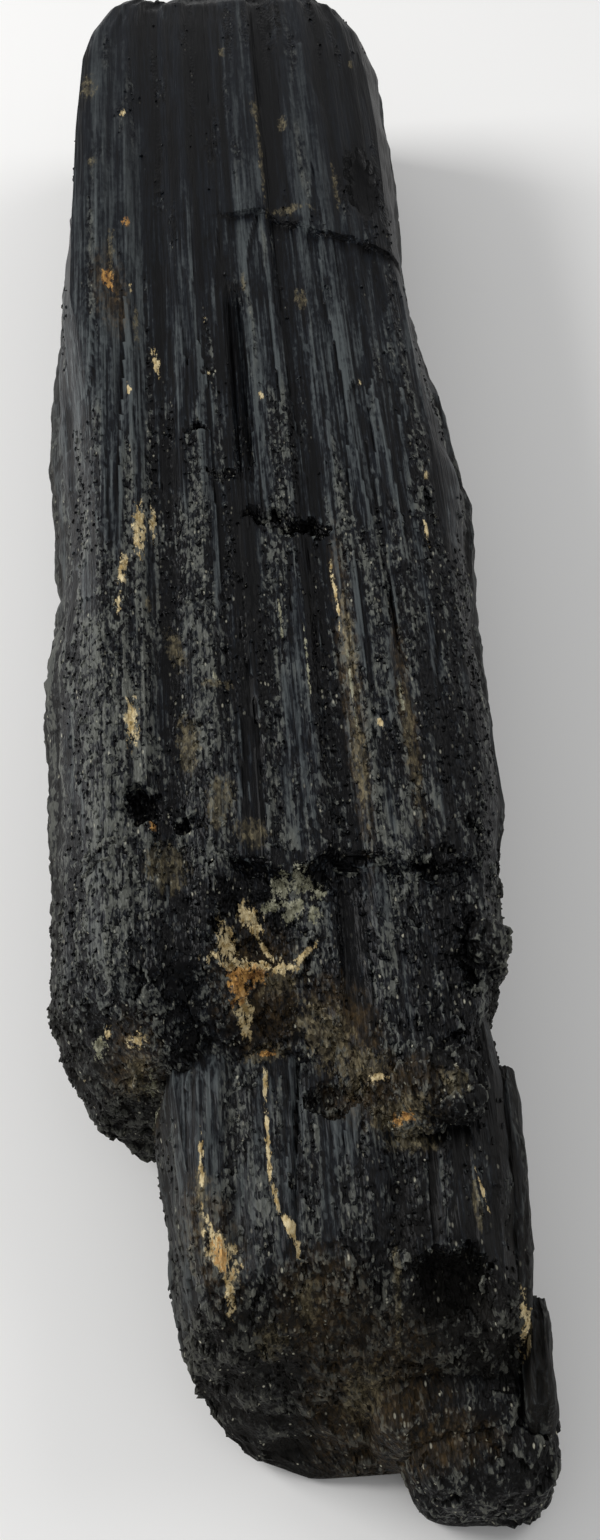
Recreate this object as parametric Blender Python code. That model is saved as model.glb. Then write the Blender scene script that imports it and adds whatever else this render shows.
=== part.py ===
"""Tourmaline crystal: a raw black log of schorl that lies on its flat underside.

One thick striated crystal runs most of the length. A lower crystal grows out of its broken
near end, with a thin prism and a slab along its right side, an overhanging lip above it and
a lump at its foot. They grew together, so they are joined in one solid.

Sizes are in millimetres and become metres when a mesh is made. X runs across the crystal,
Y along its grain towards the far end, and Z up. Z = 0 is the surface that it lies on.
"""

import bmesh
import bpy
from mathutils import Vector, noise

MM = 0.001

# ---- driving sizes ---------------------------------------------------------------------

LOG_NEAR_END = -81.0     # mean place of the thick crystal's near end
NEAR_TOP = 24.5          # height of the lower crystal's upper face
GRAIN_YAW = 0.085        # the lower crystal's grain drifts this much in X for each mm of Y
EDGE_REACH = 10.0        # ribs within this distance of an edge follow it
NARROW = 0.9             # below this part of its full width, a crystal's ribs draw together
GRAIN_SIZE = 4.6         # size of the grains on broken faces
GRAIN_HEIGHT = 0.8       # how far those grains stand up or lie down
FACE_GRAIN_HEIGHT = 1.1  # the same, on the lower crystal's broken end
LUMP_GRAIN_SIZE = 3.4    # size of the grains on lumps and in hollows
RIB_WAVE = 0.35          # ribs rise and sink this much along their length
SIDE_WAVE = 0.3          # the sides swell and draw in this much along their length
SIDE_TOP_WAVE = 0.4      # the thin side crystals' upper faces rise and sink this much
LEFT_END_ROUGHNESS = 0.7  # part of the full roughness where the left part nears its end
BOX_SHIFT = Vector((-0.35, -2.3, 0.0))   # centres the whole crystal's box on the origin

# The thick crystal's outline, from the far end to the near end:
# y, left belly, left edge, right edge, right belly, height of the upper face
LOG_OUTLINE = (
    (122.4, -9.0, -8.0, 8.5, 10.0, 17.0),
    (121.4, -13.5, -12.0, 13.0, 15.0, 25.0),
    (119.4, -16.5, -14.8, 16.2, 19.0, 30.6),
    (114.0, -19.5, -17.6, 19.6, 23.6, 32.4),
    (106.4, -22.2, -20.5, 22.0, 25.8, 32.8),
    (98.4, -23.3, -22.0, 22.6, 26.1, 33.0),
    (78.4, -23.9, -22.9, 22.8, 26.0, 33.0),
    (52.4, -24.8, -23.3, 22.0, 24.7, 33.0),
    (38.0, -26.8, -23.4, 22.6, 25.4, 32.7),
    (20.0, -27.4, -21.2, 23.0, 27.0, 32.8),
    (2.4, -26.2, -20.0, 23.5, 28.4, 33.0),
    (-8.0, -25.6, -20.0, 23.0, 27.4, 33.0),
    (-24.6, -27.5, -19.9, 22.8, 26.0, 33.0),
    (-39.6, -26.8, -19.9, 22.8, 25.8, 32.7),
    (-50.0, -26.2, -19.8, 22.4, 25.7, 32.4),
    (-57.6, -26.2, -19.7, 21.3, 24.3, 32.0),
    (-67.6, -25.9, -19.3, 19.8, 22.6, 31.2),
    (-74.6, -24.8, -18.2, 18.2, 20.8, 30.6),
    (-79.0, -23.4, -16.6, 16.6, 19.2, 30.2),
    (-81.0, -21.2, -14.6, 15.0, 17.2, 30.0),
)

# The ribs of the thick crystal's upper face, from left to right: x, height above the face
LOG_RIBS = (
    (-20.5, -0.6), (-19.4, 0.0), (-17.0, 0.3), (-16.2, -0.1), (-14.4, 0.0), (-12.8, -1.1),
    (-10.2, -1.2), (-8.8, -0.1), (-6.6, 0.2), (-5.2, -0.4), (-2.4, -0.3), (-1.8, -1.2),
    (-1.2, -0.3), (-0.4, -1.1), (0.3, 0.0), (4.6, 0.2), (5.6, -0.8), (8.2, -0.5),
    (9.2, 0.2), (11.4, -0.1), (13.2, 0.1), (15.4, -0.6), (16.6, -0.3), (18.8, -1.0),
    (20.2, -1.0), (22.5, -2.2),
)

# A crystal's side from its foot to its upper edge: part of the belly's reach, part of the
# height. The small steps back are grooves between long flat strips.
LEFT_SIDE = (
    (-0.55, 0.0), (0.05, 0.06), (0.52, 0.15), (0.44, 0.17), (0.86, 0.32), (0.79, 0.34),
    (0.98, 0.47), (1.0, 0.55), (0.9, 0.58), (0.86, 0.68), (0.74, 0.7), (0.55, 0.82),
    (0.42, 0.84), (0.2, 0.94),
)
RIGHT_SIDE = (
    (-0.9, 0.0), (-0.15, 0.08), (0.24, 0.17), (0.06, 0.19), (0.6, 0.34), (0.42, 0.36),
    (0.92, 0.52), (0.76, 0.54), (1.0, 0.66), (0.92, 0.77), (0.7, 0.79), (0.55, 0.89),
    (0.3, 0.95),
)

# Where the thick crystal's upper face starts to fall at the near end, and where that
# crystal breaks off: x, y. The fall is given by the distance past the brow.
LOG_BROW = (
    (-26.0, -64.0), (-20.0, -69.0), (-14.0, -70.0), (-8.0, -68.5), (-2.0, -71.0),
    (4.0, -76.0), (7.0, -81.0), (12.0, -85.0), (16.0, -83.0), (19.0, -77.0), (24.0, -73.0),
)
LOG_BREAK = (
    (-26.0, -72.0), (-24.0, -76.0), (-21.5, -76.8), (-18.0, -76.6), (-14.0, -77.0),
    (1.0, -80.0), (7.0, -84.0), (12.0, -87.5), (16.5, -85.0), (19.0, -78.5), (24.0, -75.0),
)
BROW_FALL = ((0.0, 0.0), (2.0, 1.2), (6.0, 4.2), (10.0, 7.6), (14.0, 11.5))

# Ledges that cross the upper face: line (x, y), drop on its near side, first and last x
FAR_LEDGE = (
    ((-3.0, 54.5), (4.0, 55.0), (9.3, 51.3), (12.0, 49.2), (16.2, 48.4), (20.0, 46.3),
     (24.0, 45.4)),
    0.9, -3.0, 30.0,
)
NEAR_LEDGE = (
    ((-8.0, -56.0), (-5.0, -57.5), (0.4, -59.9), (4.8, -57.1), (11.9, -58.8),
     (14.9, -60.3), (20.5, -57.5), (24.0, -53.1)),
    1.7, -7.5, 30.0,
)
LEDGES = (FAR_LEDGE, NEAR_LEDGE)
LEDGE_REACH = 14.0       # rings bend along a ledge within this distance of it
LEDGE_STEP = 0.7         # length of the ledge's steep face

# Rings of the thick crystal, beside a pair at each ledge
LOG_RINGS = (
    122.4, 121.4, 119.4, 117.0, 114.0, 110.0, 106.4, 98.4, 90.0, 80.0, 70.0, 60.0, 44.0, 38.0,
    29.0, 20.0, 11.0, 2.4, -3.0, -8.0, -12.0, -18.0, -24.6, -32.0, -39.6, -46.0, -52.0,
    -61.0, -63.2, -65.4, -67.6, -69.8, -72.0, -74.6, -77.0, -79.0, -81.0,
)

# The lower crystal's outline, in the same order
NEAR_OUTLINE = (
    (-60.0, -15.5, -13.5, 18.5, 20.5, 22.0),
    (-80.0, -15.2, -12.6, 19.5, 21.6, NEAR_TOP),
    (-90.0, -14.3, -11.6, 18.8, 20.9, NEAR_TOP),
    (-98.0, -13.6, -10.8, 18.0, 20.4, NEAR_TOP),
    (-102.0, -12.9, -10.2, 17.6, 20.2, NEAR_TOP),
    (-105.0, -11.6, -9.0, 17.0, 19.8, NEAR_TOP),
    (-108.0, -9.4, -7.0, 16.0, 19.0, NEAR_TOP),
    (-110.0, -6.0, -4.0, 14.0, 16.0, NEAR_TOP),
    (-111.6, -1.5, 0.0, 9.0, 11.0, NEAR_TOP),
)
NEAR_RIBS = (
    (-11.5, -0.5), (-10.0, 0.1), (-8.2, 0.2), (-7.0, -0.5), (-5.4, -0.1), (-3.6, 0.1),
    (-1.6, 0.2), (-0.9, -0.6), (-0.2, 0.1), (1.4, 0.2), (3.2, 0.3), (4.6, 0.0), (6.2, 0.2),
    (7.6, -0.2), (8.6, -0.9), (10.4, -0.6), (12.0, -0.8), (12.8, 0.1), (14.2, 0.0),
    (15.5, -0.2), (17.0, -0.9),
)
NEAR_RINGS = (
    -60.0, -70.0, -76.0, -81.0, -85.0, -89.0, -93.0, -96.0, -98.5, -100.5, -102.5, -104.3,
    -106.0, -107.5, -109.0, -110.4, -111.6,
)
# The broken near end: its upper edge and its foot (x, y), and the part of the height that
# the face between them has lost at each part of the way
NEAR_BREAK = ((-12.0, -101.0), (-6.0, -99.0), (-1.0, -97.2), (15.0, -97.2), (18.5, -101.0))
NEAR_FOOT = (
    (-13.0, -103.5), (-10.0, -107.5), (-7.0, -110.0), (-3.0, -111.3), (3.0, -112.4),
    (18.0, -112.8), (20.0, -108.0),
)
BREAK_FALL = (
    (0.0, 0.0), (0.14, 0.03), (0.3, 0.1), (0.48, 0.24), (0.62, 0.42), (0.76, 0.63),
    (0.9, 0.86), (1.0, 0.96),
)

# Lumps grown on the crystals: name, middle, half sizes, boxiness, noise height
LUMPS = (
    ("foot_lump", (15.4, -109.5, 4.6), (7.6, 8.2, 7.2), 3.4, 0.8),
    ("foot_shelf", (12.4, -104.4, 6.0), (8.2, 8.2, 7.6), 4.0, 0.4),
    ("overhanging_lip", (14.2, -83.4, 27.6), (4.4, 4.8, 2.7), 2.6, 0.7),
    ("right_knob", (20.4, -66.5, 24.0), (2.6, 2.8, 4.2), 2.4, 0.5),
)
# Thin crystals along the lower crystal's right side: name and outline, as above
SIDE_CRYSTALS = (
    ("side_prism", (
        (-76.4, 18.2, 18.9, 21.8, 22.3, 17.0), (-78.0, 18.0, 18.8, 22.2, 22.9, 21.0),
        (-82.0, 17.6, 18.4, 22.2, 22.8, 21.8), (-89.0, 17.2, 18.0, 21.6, 22.4, 21.4),
        (-96.0, 16.6, 17.4, 21.0, 22.0, 20.6), (-101.0, 16.4, 17.2, 20.6, 21.6, 19.4),
        (-104.5, 16.4, 17.2, 20.4, 21.2, 17.0), (-105.6, 16.8, 17.4, 20.2, 20.8, 12.0),
    )),
    ("side_slab", (
        (-99.0, 19.8, 20.3, 22.4, 22.9, 11.0), (-100.0, 19.7, 20.3, 22.8, 23.5, 15.0),
        (-103.0, 19.5, 20.1, 22.7, 23.5, 16.6), (-107.0, 19.3, 19.9, 22.4, 23.2, 16.2),
        (-110.5, 19.1, 19.7, 22.1, 22.8, 14.8), (-112.2, 19.3, 19.8, 21.8, 22.3, 11.0),
    )),
)
SIDE_RIBS = ((17.6, -0.6), (18.4, 0.0), (19.3, -0.3), (20.3, 0.1), (21.4, -0.7))

# Hollows broken out of the upper faces, in the lumps' order
HOLLOWS = (
    ("stained_hollow", (-2.4, -65.8, 32.4), (5.8, 6.2, 3.9), 2.4, 1.0),
    ("right_hollow", (19.0, -69.4, 30.4), (2.2, 5.6, 4.4), 2.4, 0.6),
    ("middle_notch", (4.6, -8.6, 33.6), (4.6, 1.9, 2.0), 2.4, 0.5),
    ("small_pit_1", (-4.0, -0.2, 33.4), (1.8, 1.5, 1.3), 2.0, 0.2),
    ("small_pit_2", (2.2, 3.4, 33.6), (2.0, 1.1, 1.2), 2.0, 0.2),
    ("left_pit", (-14.6, -50.4, 32.6), (2.2, 2.3, 2.4), 2.2, 0.4),
    ("right_notch", (22.4, -53.6, 30.6), (2.6, 1.4, 2.4), 2.2, 0.3),
    ("ledge_pit", (16.8, -58.4, 32.0), (2.4, 2.0, 2.0), 2.2, 0.4),
    ("long_hollow", (19.4, 62.0, 32.6), (2.5, 8.6, 2.3), 2.2, 0.3),
    ("terrace_pit", (3.2, -82.6, 25.2), (3.2, 1.9, 2.0), 2.4, 0.4),
    ("square_hollow", (13.0, -101.8, 22.4), (3.4, 3.4, 3.2), 3.4, 0.4),
)
BIG = 4.0                # a lump or hollow with a half size over this gets finer faces


# ---- shape of the crystals -------------------------------------------------------------

def along(points, place):
    """Read a line of (place, value...) points at one place, straight between the points."""
    rows = sorted(points)
    place = min(max(place, rows[0][0]), rows[-1][0])
    for low, high in zip(rows, rows[1:]):
        if place <= high[0]:
            part = (place - low[0]) / (high[0] - low[0])
            return [a + (b - a) * part for a, b in zip(low[1:], high[1:])]
    return list(rows[-1][1:])


def ease(part):
    """0 below 0, 1 above 1, smooth between."""
    part = min(max(part, 0.0), 1.0)
    return part * part * (3.0 - 2.0 * part)


def wavy(x, y, z, size):
    """A number from about -1 to 1 that changes smoothly over the given size."""
    return noise.noise(Vector((x, y, z)) / size)


def grainy(x, y, z, size):
    """A number from about -1 to 1 for broken rock: each grain is a level or tilted facet."""
    place = Vector((x, y, z)) / size
    _distances, middles = noise.voronoi(place)
    tilt = noise.cell_vector(middles[0] * 7.3) - Vector((0.5, 0.5, 0.5))
    level = noise.cell(middles[0] * 5.1 + Vector((3.0, 1.0, 2.0)))
    return (level - 0.5) * 1.2 + 1.6 * tilt.dot(place - middles[0])


def ledge_drop(ledge, x, y):
    """How far the upper face has dropped on the near side of a ledge."""
    line, drop, first, last = ledge
    behind = along(line, x)[0] - y
    across = ease((x - first) / 4.0) * ease((last - x) / 4.0)
    return drop * across * ease(behind / LEDGE_STEP + 0.5)


def groove_strength(x, y):
    """The pair of grooves near the middle is deep in one stretch and shallow elsewhere."""
    if not -2.5 < x < 0.1:
        return 1.0
    return 0.25 + 0.75 * ease((y + 4.0) / 8.0) * ease((42.0 - y) / 8.0)


def log_rib(x, y):
    """Height of the thick crystal's ribs above its upper face."""
    height = along(LOG_RIBS, x)[0] * groove_strength(x, y)
    return height + RIB_WAVE * wavy(x * 3.0, y * 0.25, 4.0, 12.0)


def log_broken(x, y):
    """1 on the rough, broken parts of the upper face, and 0 on the striated part."""
    if y > 100.0:
        return ease((y - 117.0) / 3.0)
    if x > -8.0:
        return ease((along(NEAR_LEDGE[0], x)[0] - y) / 2.0)
    return LEFT_END_ROUGHNESS * ease((-60.0 - y) / 8.0)


def log_top(x, y, height):
    """Height of the thick crystal's upper face."""
    for ledge in LEDGES:
        height -= ledge_drop(ledge, x, y)
    past_brow = along(LOG_BROW, x)[0] - y
    fall = along(BROW_FALL, past_brow)[0]
    broken = log_broken(x, y)
    grain = GRAIN_HEIGHT * broken * grainy(x, y, 0.0, GRAIN_SIZE)
    return height - fall + log_rib(x, y) * (1.0 - broken) + grain


def near_top(x, y, height):
    """Height of the lower crystal's upper face, and of the broken face at its end."""
    edge = along(NEAR_BREAK, x)[0]
    fall = height * along(BREAK_FALL, (edge - y) / (edge - along(NEAR_FOOT, x)[0]))[0]
    broken = ease((edge - y) / 2.0)
    rib = along(NEAR_RIBS, x)[0] * (1.0 - broken)
    grain = FACE_GRAIN_HEIGHT * broken * grainy(x, y, 7.0, GRAIN_SIZE)
    return max(height + rib - fall + grain, 0.8)


def side_top(x, y, height):
    """Height of a thin side crystal's upper face."""
    return height + SIDE_TOP_WAVE * wavy(x * 2.0, y, 3.0, 3.0)


def mean_y(line):
    """The mean place of a line along Y."""
    return sum(point[1] for point in line) / len(line)


def bend_log(x, y):
    """Move a ring's point along Y so that rings follow the ledges and the near break."""
    for line, _drop, _first, _last in LEDGES:
        weight = ease((LEDGE_REACH - abs(y - mean_y(line))) / (LEDGE_REACH - 2.0))
        y += weight * (along(line, x)[0] - mean_y(line))
    weight = ease((LOG_NEAR_END + 16.0 - y) / 16.0)
    return y + weight * (along(LOG_BREAK, x)[0] - LOG_NEAR_END)


def no_bend(_x, y):
    """A ring that stays flat."""
    return y


def no_drift(_y):
    """The thick crystal's grain runs straight along Y."""
    return 0.0


def near_drift(y):
    """The lower crystal's grain leans to the right towards its near end."""
    return GRAIN_YAW * (-88.0 - y)


def rib_place(nominal, left_edge, right_edge, first, last):
    """Where a rib lies in X: inner ribs keep their place, and only those near an edge move
    with it. Where the crystal is narrow, all its ribs draw together."""
    width = last - first
    share = (right_edge - left_edge) / width
    together = left_edge + (nominal - first) * share
    left = max(0.0, 1.0 - (nominal - first) / EDGE_REACH)
    right = max(0.0, 1.0 - (last - nominal) / EDGE_REACH)
    apart = nominal + (left_edge - first) * left + (right_edge - last) * right
    narrow = 1.0 if width < EDGE_REACH else ease((NARROW - share) / 0.2)
    return apart + (together - apart) * narrow


def ring(y, outline, ribs, top, bend, drift):
    """One section of a crystal, from its left foot over the top to its right foot."""
    left_belly, left_edge, right_edge, right_belly, height = along(outline, y)
    first, last = ribs[0][0], ribs[-1][0]
    points = []

    def add_side(edge, belly, side, outward):
        edge_height = top(edge, bend(edge, y), height)
        for reach, level in side:
            swell = SIDE_WAVE * outward * wavy(edge, y * 0.4, level * 20.0, 9.0)
            x = edge + (belly - edge) * reach + swell
            points.append((x, bend(x, y), edge_height * level))

    add_side(left_edge, left_belly, LEFT_SIDE, -1.0)
    for nominal, _height in ribs:
        x = rib_place(nominal, left_edge, right_edge, first, last)
        place = bend(x, y)
        points.append((x, place, top(nominal + drift(y), place, height)))
    add_side(right_edge, right_belly, tuple(reversed(RIGHT_SIDE)), 1.0)
    return points


def loft(name, rings):
    """A closed solid through rings of equal point counts, with its two ends filled."""
    mesh = bmesh.new()
    rows = [[mesh.verts.new(place(point)) for point in points] for points in rings]
    for row, following in zip(rows, rows[1:]):
        for index in range(len(row)):
            after = (index + 1) % len(row)
            mesh.faces.new((row[index], row[after], following[after], following[index]))
    mesh.faces.new(rows[0])
    mesh.faces.new(reversed(rows[-1]))
    bmesh.ops.recalc_face_normals(mesh, faces=mesh.faces)
    bmesh.ops.triangulate(mesh, faces=mesh.faces)
    return as_object(name, mesh)


def place(point):
    """A point in millimetres, as a place in the scene."""
    return (Vector(point) + BOX_SHIFT) * MM


def as_object(name, mesh):
    """Make a bmesh an object."""
    data = bpy.data.meshes.new(name)
    mesh.to_mesh(data)
    mesh.free()
    return bpy.data.objects.new(name, data)


def thick_crystal(name):
    """The long crystal, with its ribs, its two ledges and its broken near end."""
    rings = list(LOG_RINGS)
    for line, _drop, _first, _last in LEDGES:
        rings += [mean_y(line) + LEDGE_STEP / 2.0, mean_y(line) - LEDGE_STEP / 2.0]
    rings.sort(reverse=True)
    return loft(name, [
        ring(y, LOG_OUTLINE, LOG_RIBS, log_top, bend_log, no_drift) for y in rings
    ])


def lower_crystal(name):
    """The crystal that grows out of the near end, and its broken face."""
    return loft(name, [
        ring(y, NEAR_OUTLINE, NEAR_RIBS, near_top, no_bend, near_drift) for y in NEAR_RINGS
    ])


def lump(name, middle, half_sizes, boxiness, rough):
    """A rough lump of broken grains, between a ball and a box in shape."""
    mesh = bmesh.new()
    detail = 3 if max(half_sizes) > BIG else 2
    bmesh.ops.create_icosphere(mesh, subdivisions=detail, radius=1.0)
    for vertex in mesh.verts:
        direction = vertex.co.normalized()
        power = sum(abs(part) ** boxiness for part in direction) ** (1.0 / boxiness)
        point = Vector([m + d / power * h for m, d, h in zip(middle, direction, half_sizes)])
        point += direction * rough * grainy(point.x, point.y, point.z, LUMP_GRAIN_SIZE)
        vertex.co = place(point)
    return as_object(name, mesh)


def side_crystal(name, outline):
    """A thin crystal that lies beside the lower one."""
    return loft(name, [
        ring(y, outline, SIDE_RIBS, side_top, no_bend, no_drift)
        for y in (row[0] for row in outline)
    ])


# ---- joining, cutting and finish -------------------------------------------------------

def black_schorl():
    """Black tourmaline: bluish black, with a satin gloss along its grain."""
    material = bpy.data.materials.new("black_schorl")
    material.use_nodes = True
    shader = material.node_tree.nodes["Principled BSDF"]
    shader.inputs["Base Color"].default_value = (0.022, 0.024, 0.028, 1.0)
    shader.inputs["Roughness"].default_value = 0.42
    shader.inputs["Metallic"].default_value = 0.0
    return material


def ground_cutter(name):
    """A slab under Z = 0, which cuts the flat face that the crystal rests on."""
    mesh = bmesh.new()
    bmesh.ops.create_cube(mesh, size=1.0)
    bmesh.ops.scale(mesh, vec=Vector((100.0, 300.0, 20.0)) * MM, verts=mesh.verts)
    bmesh.ops.translate(mesh, vec=Vector((0.0, 0.0, -10.0)) * MM, verts=mesh.verts)
    return as_object(name, mesh)


def combine(target, helper, operation):
    """Join a hidden helper to the target, or cut it out of it."""
    helper.hide_render = True
    helper.display_type = "WIRE"
    modifier = target.modifiers.new(helper.name, "BOOLEAN")
    modifier.object = helper
    modifier.operation = operation
    modifier.solver = "EXACT"


def main():
    """Build the crystal."""
    for old in list(bpy.data.objects):
        bpy.data.objects.remove(old)
    specimen = bpy.data.collections.new("tourmaline")
    cutters = bpy.data.collections.new("cutters")
    for collection in (specimen, cutters):
        bpy.context.scene.collection.children.link(collection)

    crystal = thick_crystal("tourmaline_crystal")
    crystal.data.materials.append(black_schorl())
    specimen.objects.link(crystal)
    grown = [lower_crystal("lower_crystal")]
    grown += [side_crystal(*row) for row in SIDE_CRYSTALS]
    grown += [lump(*row) for row in LUMPS]
    hollows = [lump(*row) for row in HOLLOWS] + [ground_cutter("ground_cutter")]
    for helpers, operation in ((grown, "UNION"), (hollows, "DIFFERENCE")):
        for helper in helpers:
            cutters.objects.link(helper)
            combine(crystal, helper, operation)


main()
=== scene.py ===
"""Dresses a raw black tourmaline crystal: a striated log of schorl that lies on its side.

The specimen is one natural growth. It is dressed in nine skins that follow the solid's named
sizes: the thick crystal and its broken end, the lower crystal that grows out of that end, a
thin prism and a slab beside it, and four lumps of broken grains. Each skin starts as a fine
grid or ball. One Geometry Nodes tree cuts blades, striae, grains and crumbs into it, and a
second one scatters loose grains over the three largest, as three more pieces.

Forms are worked out in millimetres. X runs across the crystal, Y along its grain towards
the far end, and Z up from the floor.
"""

from __future__ import annotations

import logging
import math
from collections.abc import Callable
from dataclasses import dataclass, field
from enum import Enum
from functools import partial

import bmesh
import bpy
import numpy as np
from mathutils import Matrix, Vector


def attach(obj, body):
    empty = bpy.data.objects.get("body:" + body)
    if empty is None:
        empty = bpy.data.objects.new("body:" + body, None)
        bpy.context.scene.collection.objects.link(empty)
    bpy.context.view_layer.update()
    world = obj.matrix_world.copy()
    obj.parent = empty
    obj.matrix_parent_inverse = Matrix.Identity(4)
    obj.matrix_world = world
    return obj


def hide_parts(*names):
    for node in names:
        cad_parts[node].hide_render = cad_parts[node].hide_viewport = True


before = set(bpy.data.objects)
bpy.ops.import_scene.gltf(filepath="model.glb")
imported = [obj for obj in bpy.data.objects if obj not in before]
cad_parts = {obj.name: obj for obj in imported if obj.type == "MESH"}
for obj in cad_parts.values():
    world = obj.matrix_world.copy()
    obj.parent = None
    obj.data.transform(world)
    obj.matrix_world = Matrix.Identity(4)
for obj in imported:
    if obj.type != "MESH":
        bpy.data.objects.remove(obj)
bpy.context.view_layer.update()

Table = tuple[tuple[float, ...], ...]
Span = tuple[float, float]
Triple = tuple[float, float, float]
Field = np.ndarray
Adder = Callable[..., bpy.types.Node]

LOG = logging.getLogger("tourmaline")
NODE = "tourmaline_crystal"
BODY = "root"
MM = 0.001

# ---- driving sizes, in millimetres ----

LOG_NEAR_END = -81.0     # mean place of the thick crystal's near end
NEAR_TOP = 24.5          # height of the lower crystal's upper face
GRAIN_YAW = 0.085        # the lower crystal's grain drifts this much in X for each mm of Y
DRIFT_FROM = -88.0       # and has no drift here
EDGE_REACH = 10.0        # ribs within this distance of an edge follow it
NARROW = 0.9             # below this part of its full width, a crystal's ribs draw together
NARROWING = 0.2          # over this part of the width
BOX_SHIFT = (-0.35, -2.3, 0.0)   # centres the whole crystal's box on the origin

# The thick crystal's outline, from the far end to the near end:
# y, left belly, left edge, right edge, right belly, height of the upper face
LOG_OUTLINE: Table = (
    (122.4, -9.0, -8.0, 8.5, 10.0, 17.0), (121.4, -13.5, -12.0, 13.0, 15.0, 25.0),
    (119.4, -16.5, -14.8, 16.2, 19.0, 30.6), (114.0, -19.5, -17.6, 19.6, 23.6, 32.4),
    (106.4, -22.2, -20.5, 22.0, 25.8, 32.8), (98.4, -23.3, -22.0, 22.6, 26.1, 33.0),
    (78.4, -23.9, -22.9, 22.8, 26.0, 33.0), (52.4, -24.8, -23.3, 22.0, 24.7, 33.0),
    (38.0, -26.8, -23.4, 22.6, 25.4, 32.7), (20.0, -27.4, -21.2, 23.0, 27.0, 32.8),
    (2.4, -26.2, -20.0, 23.5, 28.4, 33.0), (-8.0, -25.6, -20.0, 23.0, 27.4, 33.0),
    (-24.6, -27.5, -19.9, 22.8, 26.0, 33.0), (-39.6, -26.8, -19.9, 22.8, 25.8, 32.7),
    (-50.0, -26.2, -19.8, 22.4, 25.7, 32.4), (-57.6, -26.2, -19.7, 21.3, 24.3, 32.0),
    (-67.6, -25.9, -19.3, 19.8, 22.6, 31.2), (-74.6, -24.8, -18.2, 18.2, 20.8, 30.6),
    (-79.0, -23.4, -16.6, 16.6, 19.2, 30.2), (-81.0, -21.2, -14.6, 15.0, 17.2, 30.0),
)

# The ribs of the thick crystal's upper face, from left to right: x, height above the face
LOG_RIBS: Table = (
    (-20.5, -0.6), (-19.4, 0.0), (-17.0, 0.3), (-16.2, -0.1), (-14.4, 0.0), (-12.8, -1.1), (-10.2, -1.2),
    (-8.8, -0.1), (-6.6, 0.2), (-5.2, -0.4), (-2.4, -0.3), (-1.8, -1.2), (-1.2, -0.3), (-0.4, -1.1),
    (0.3, 0.0), (4.6, 0.2), (5.6, -0.8), (8.2, -0.5), (9.2, 0.2), (11.4, -0.1), (13.2, 0.1), (15.4, -0.6),
    (16.6, -0.3), (18.8, -1.0), (20.2, -1.0), (22.5, -2.2),
)

# A crystal's side from its foot to its upper edge: part of the belly's reach, part of the
# height. The small steps back are grooves between long flat strips.
LEFT_SIDE: Table = (
    (-0.55, 0.0), (0.05, 0.06), (0.52, 0.15), (0.44, 0.17), (0.86, 0.32), (0.79, 0.34), (0.98, 0.47),
    (1.0, 0.55), (0.9, 0.58), (0.86, 0.68), (0.74, 0.7), (0.55, 0.82), (0.42, 0.84), (0.2, 0.94),
)
RIGHT_SIDE: Table = (
    (-0.9, 0.0), (-0.15, 0.08), (0.24, 0.17), (0.06, 0.19), (0.6, 0.34), (0.42, 0.36), (0.92, 0.52),
    (0.76, 0.54), (1.0, 0.66), (0.92, 0.77), (0.7, 0.79), (0.55, 0.89), (0.3, 0.95),
)

# Where the thick crystal's upper face starts to fall at the near end, and where that
# crystal breaks off: x, y. The fall is given by the distance past the brow.
LOG_BROW: Table = (
    (-26.0, -64.0), (-20.0, -69.0), (-14.0, -70.0), (-8.0, -68.5), (-2.0, -71.0), (4.0, -76.0),
    (7.0, -81.0), (12.0, -85.0), (16.0, -83.0), (19.0, -77.0), (24.0, -73.0),
)
LOG_BREAK: Table = (
    (-26.0, -72.0), (-24.0, -76.0), (-21.5, -76.8), (-18.0, -76.6), (-14.0, -77.0), (1.0, -80.0),
    (7.0, -84.0), (12.0, -87.5), (16.5, -85.0), (19.0, -78.5), (24.0, -75.0),
)
BROW_FALL: Table = ((0.0, 0.0), (2.0, 1.2), (6.0, 4.2), (10.0, 7.6), (14.0, 11.5))

# Ledges that cross the upper face: line (x, y), drop on its near side, first and last x
FAR_LEDGE = (
    ((-3.0, 54.5), (4.0, 55.0), (9.3, 51.3), (12.0, 49.2), (16.2, 48.4), (20.0, 46.3),
     (24.0, 45.4)),
    0.9, -3.0, 30.0,
)
NEAR_LEDGE = (
    ((-8.0, -56.0), (-5.0, -57.5), (0.4, -59.9), (4.8, -57.1), (11.9, -58.8),
     (14.9, -60.3), (20.5, -57.5), (24.0, -53.1)),
    1.7, -7.5, 30.0,
)
LEDGES = (FAR_LEDGE, NEAR_LEDGE)
LEDGE_REACH = 14.0       # rings bend along a ledge within this distance of it
LEDGE_HOLD = 2.0         # and follow it fully within this one
LEDGE_STEP = 0.7         # length of the ledge's steep face

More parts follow.
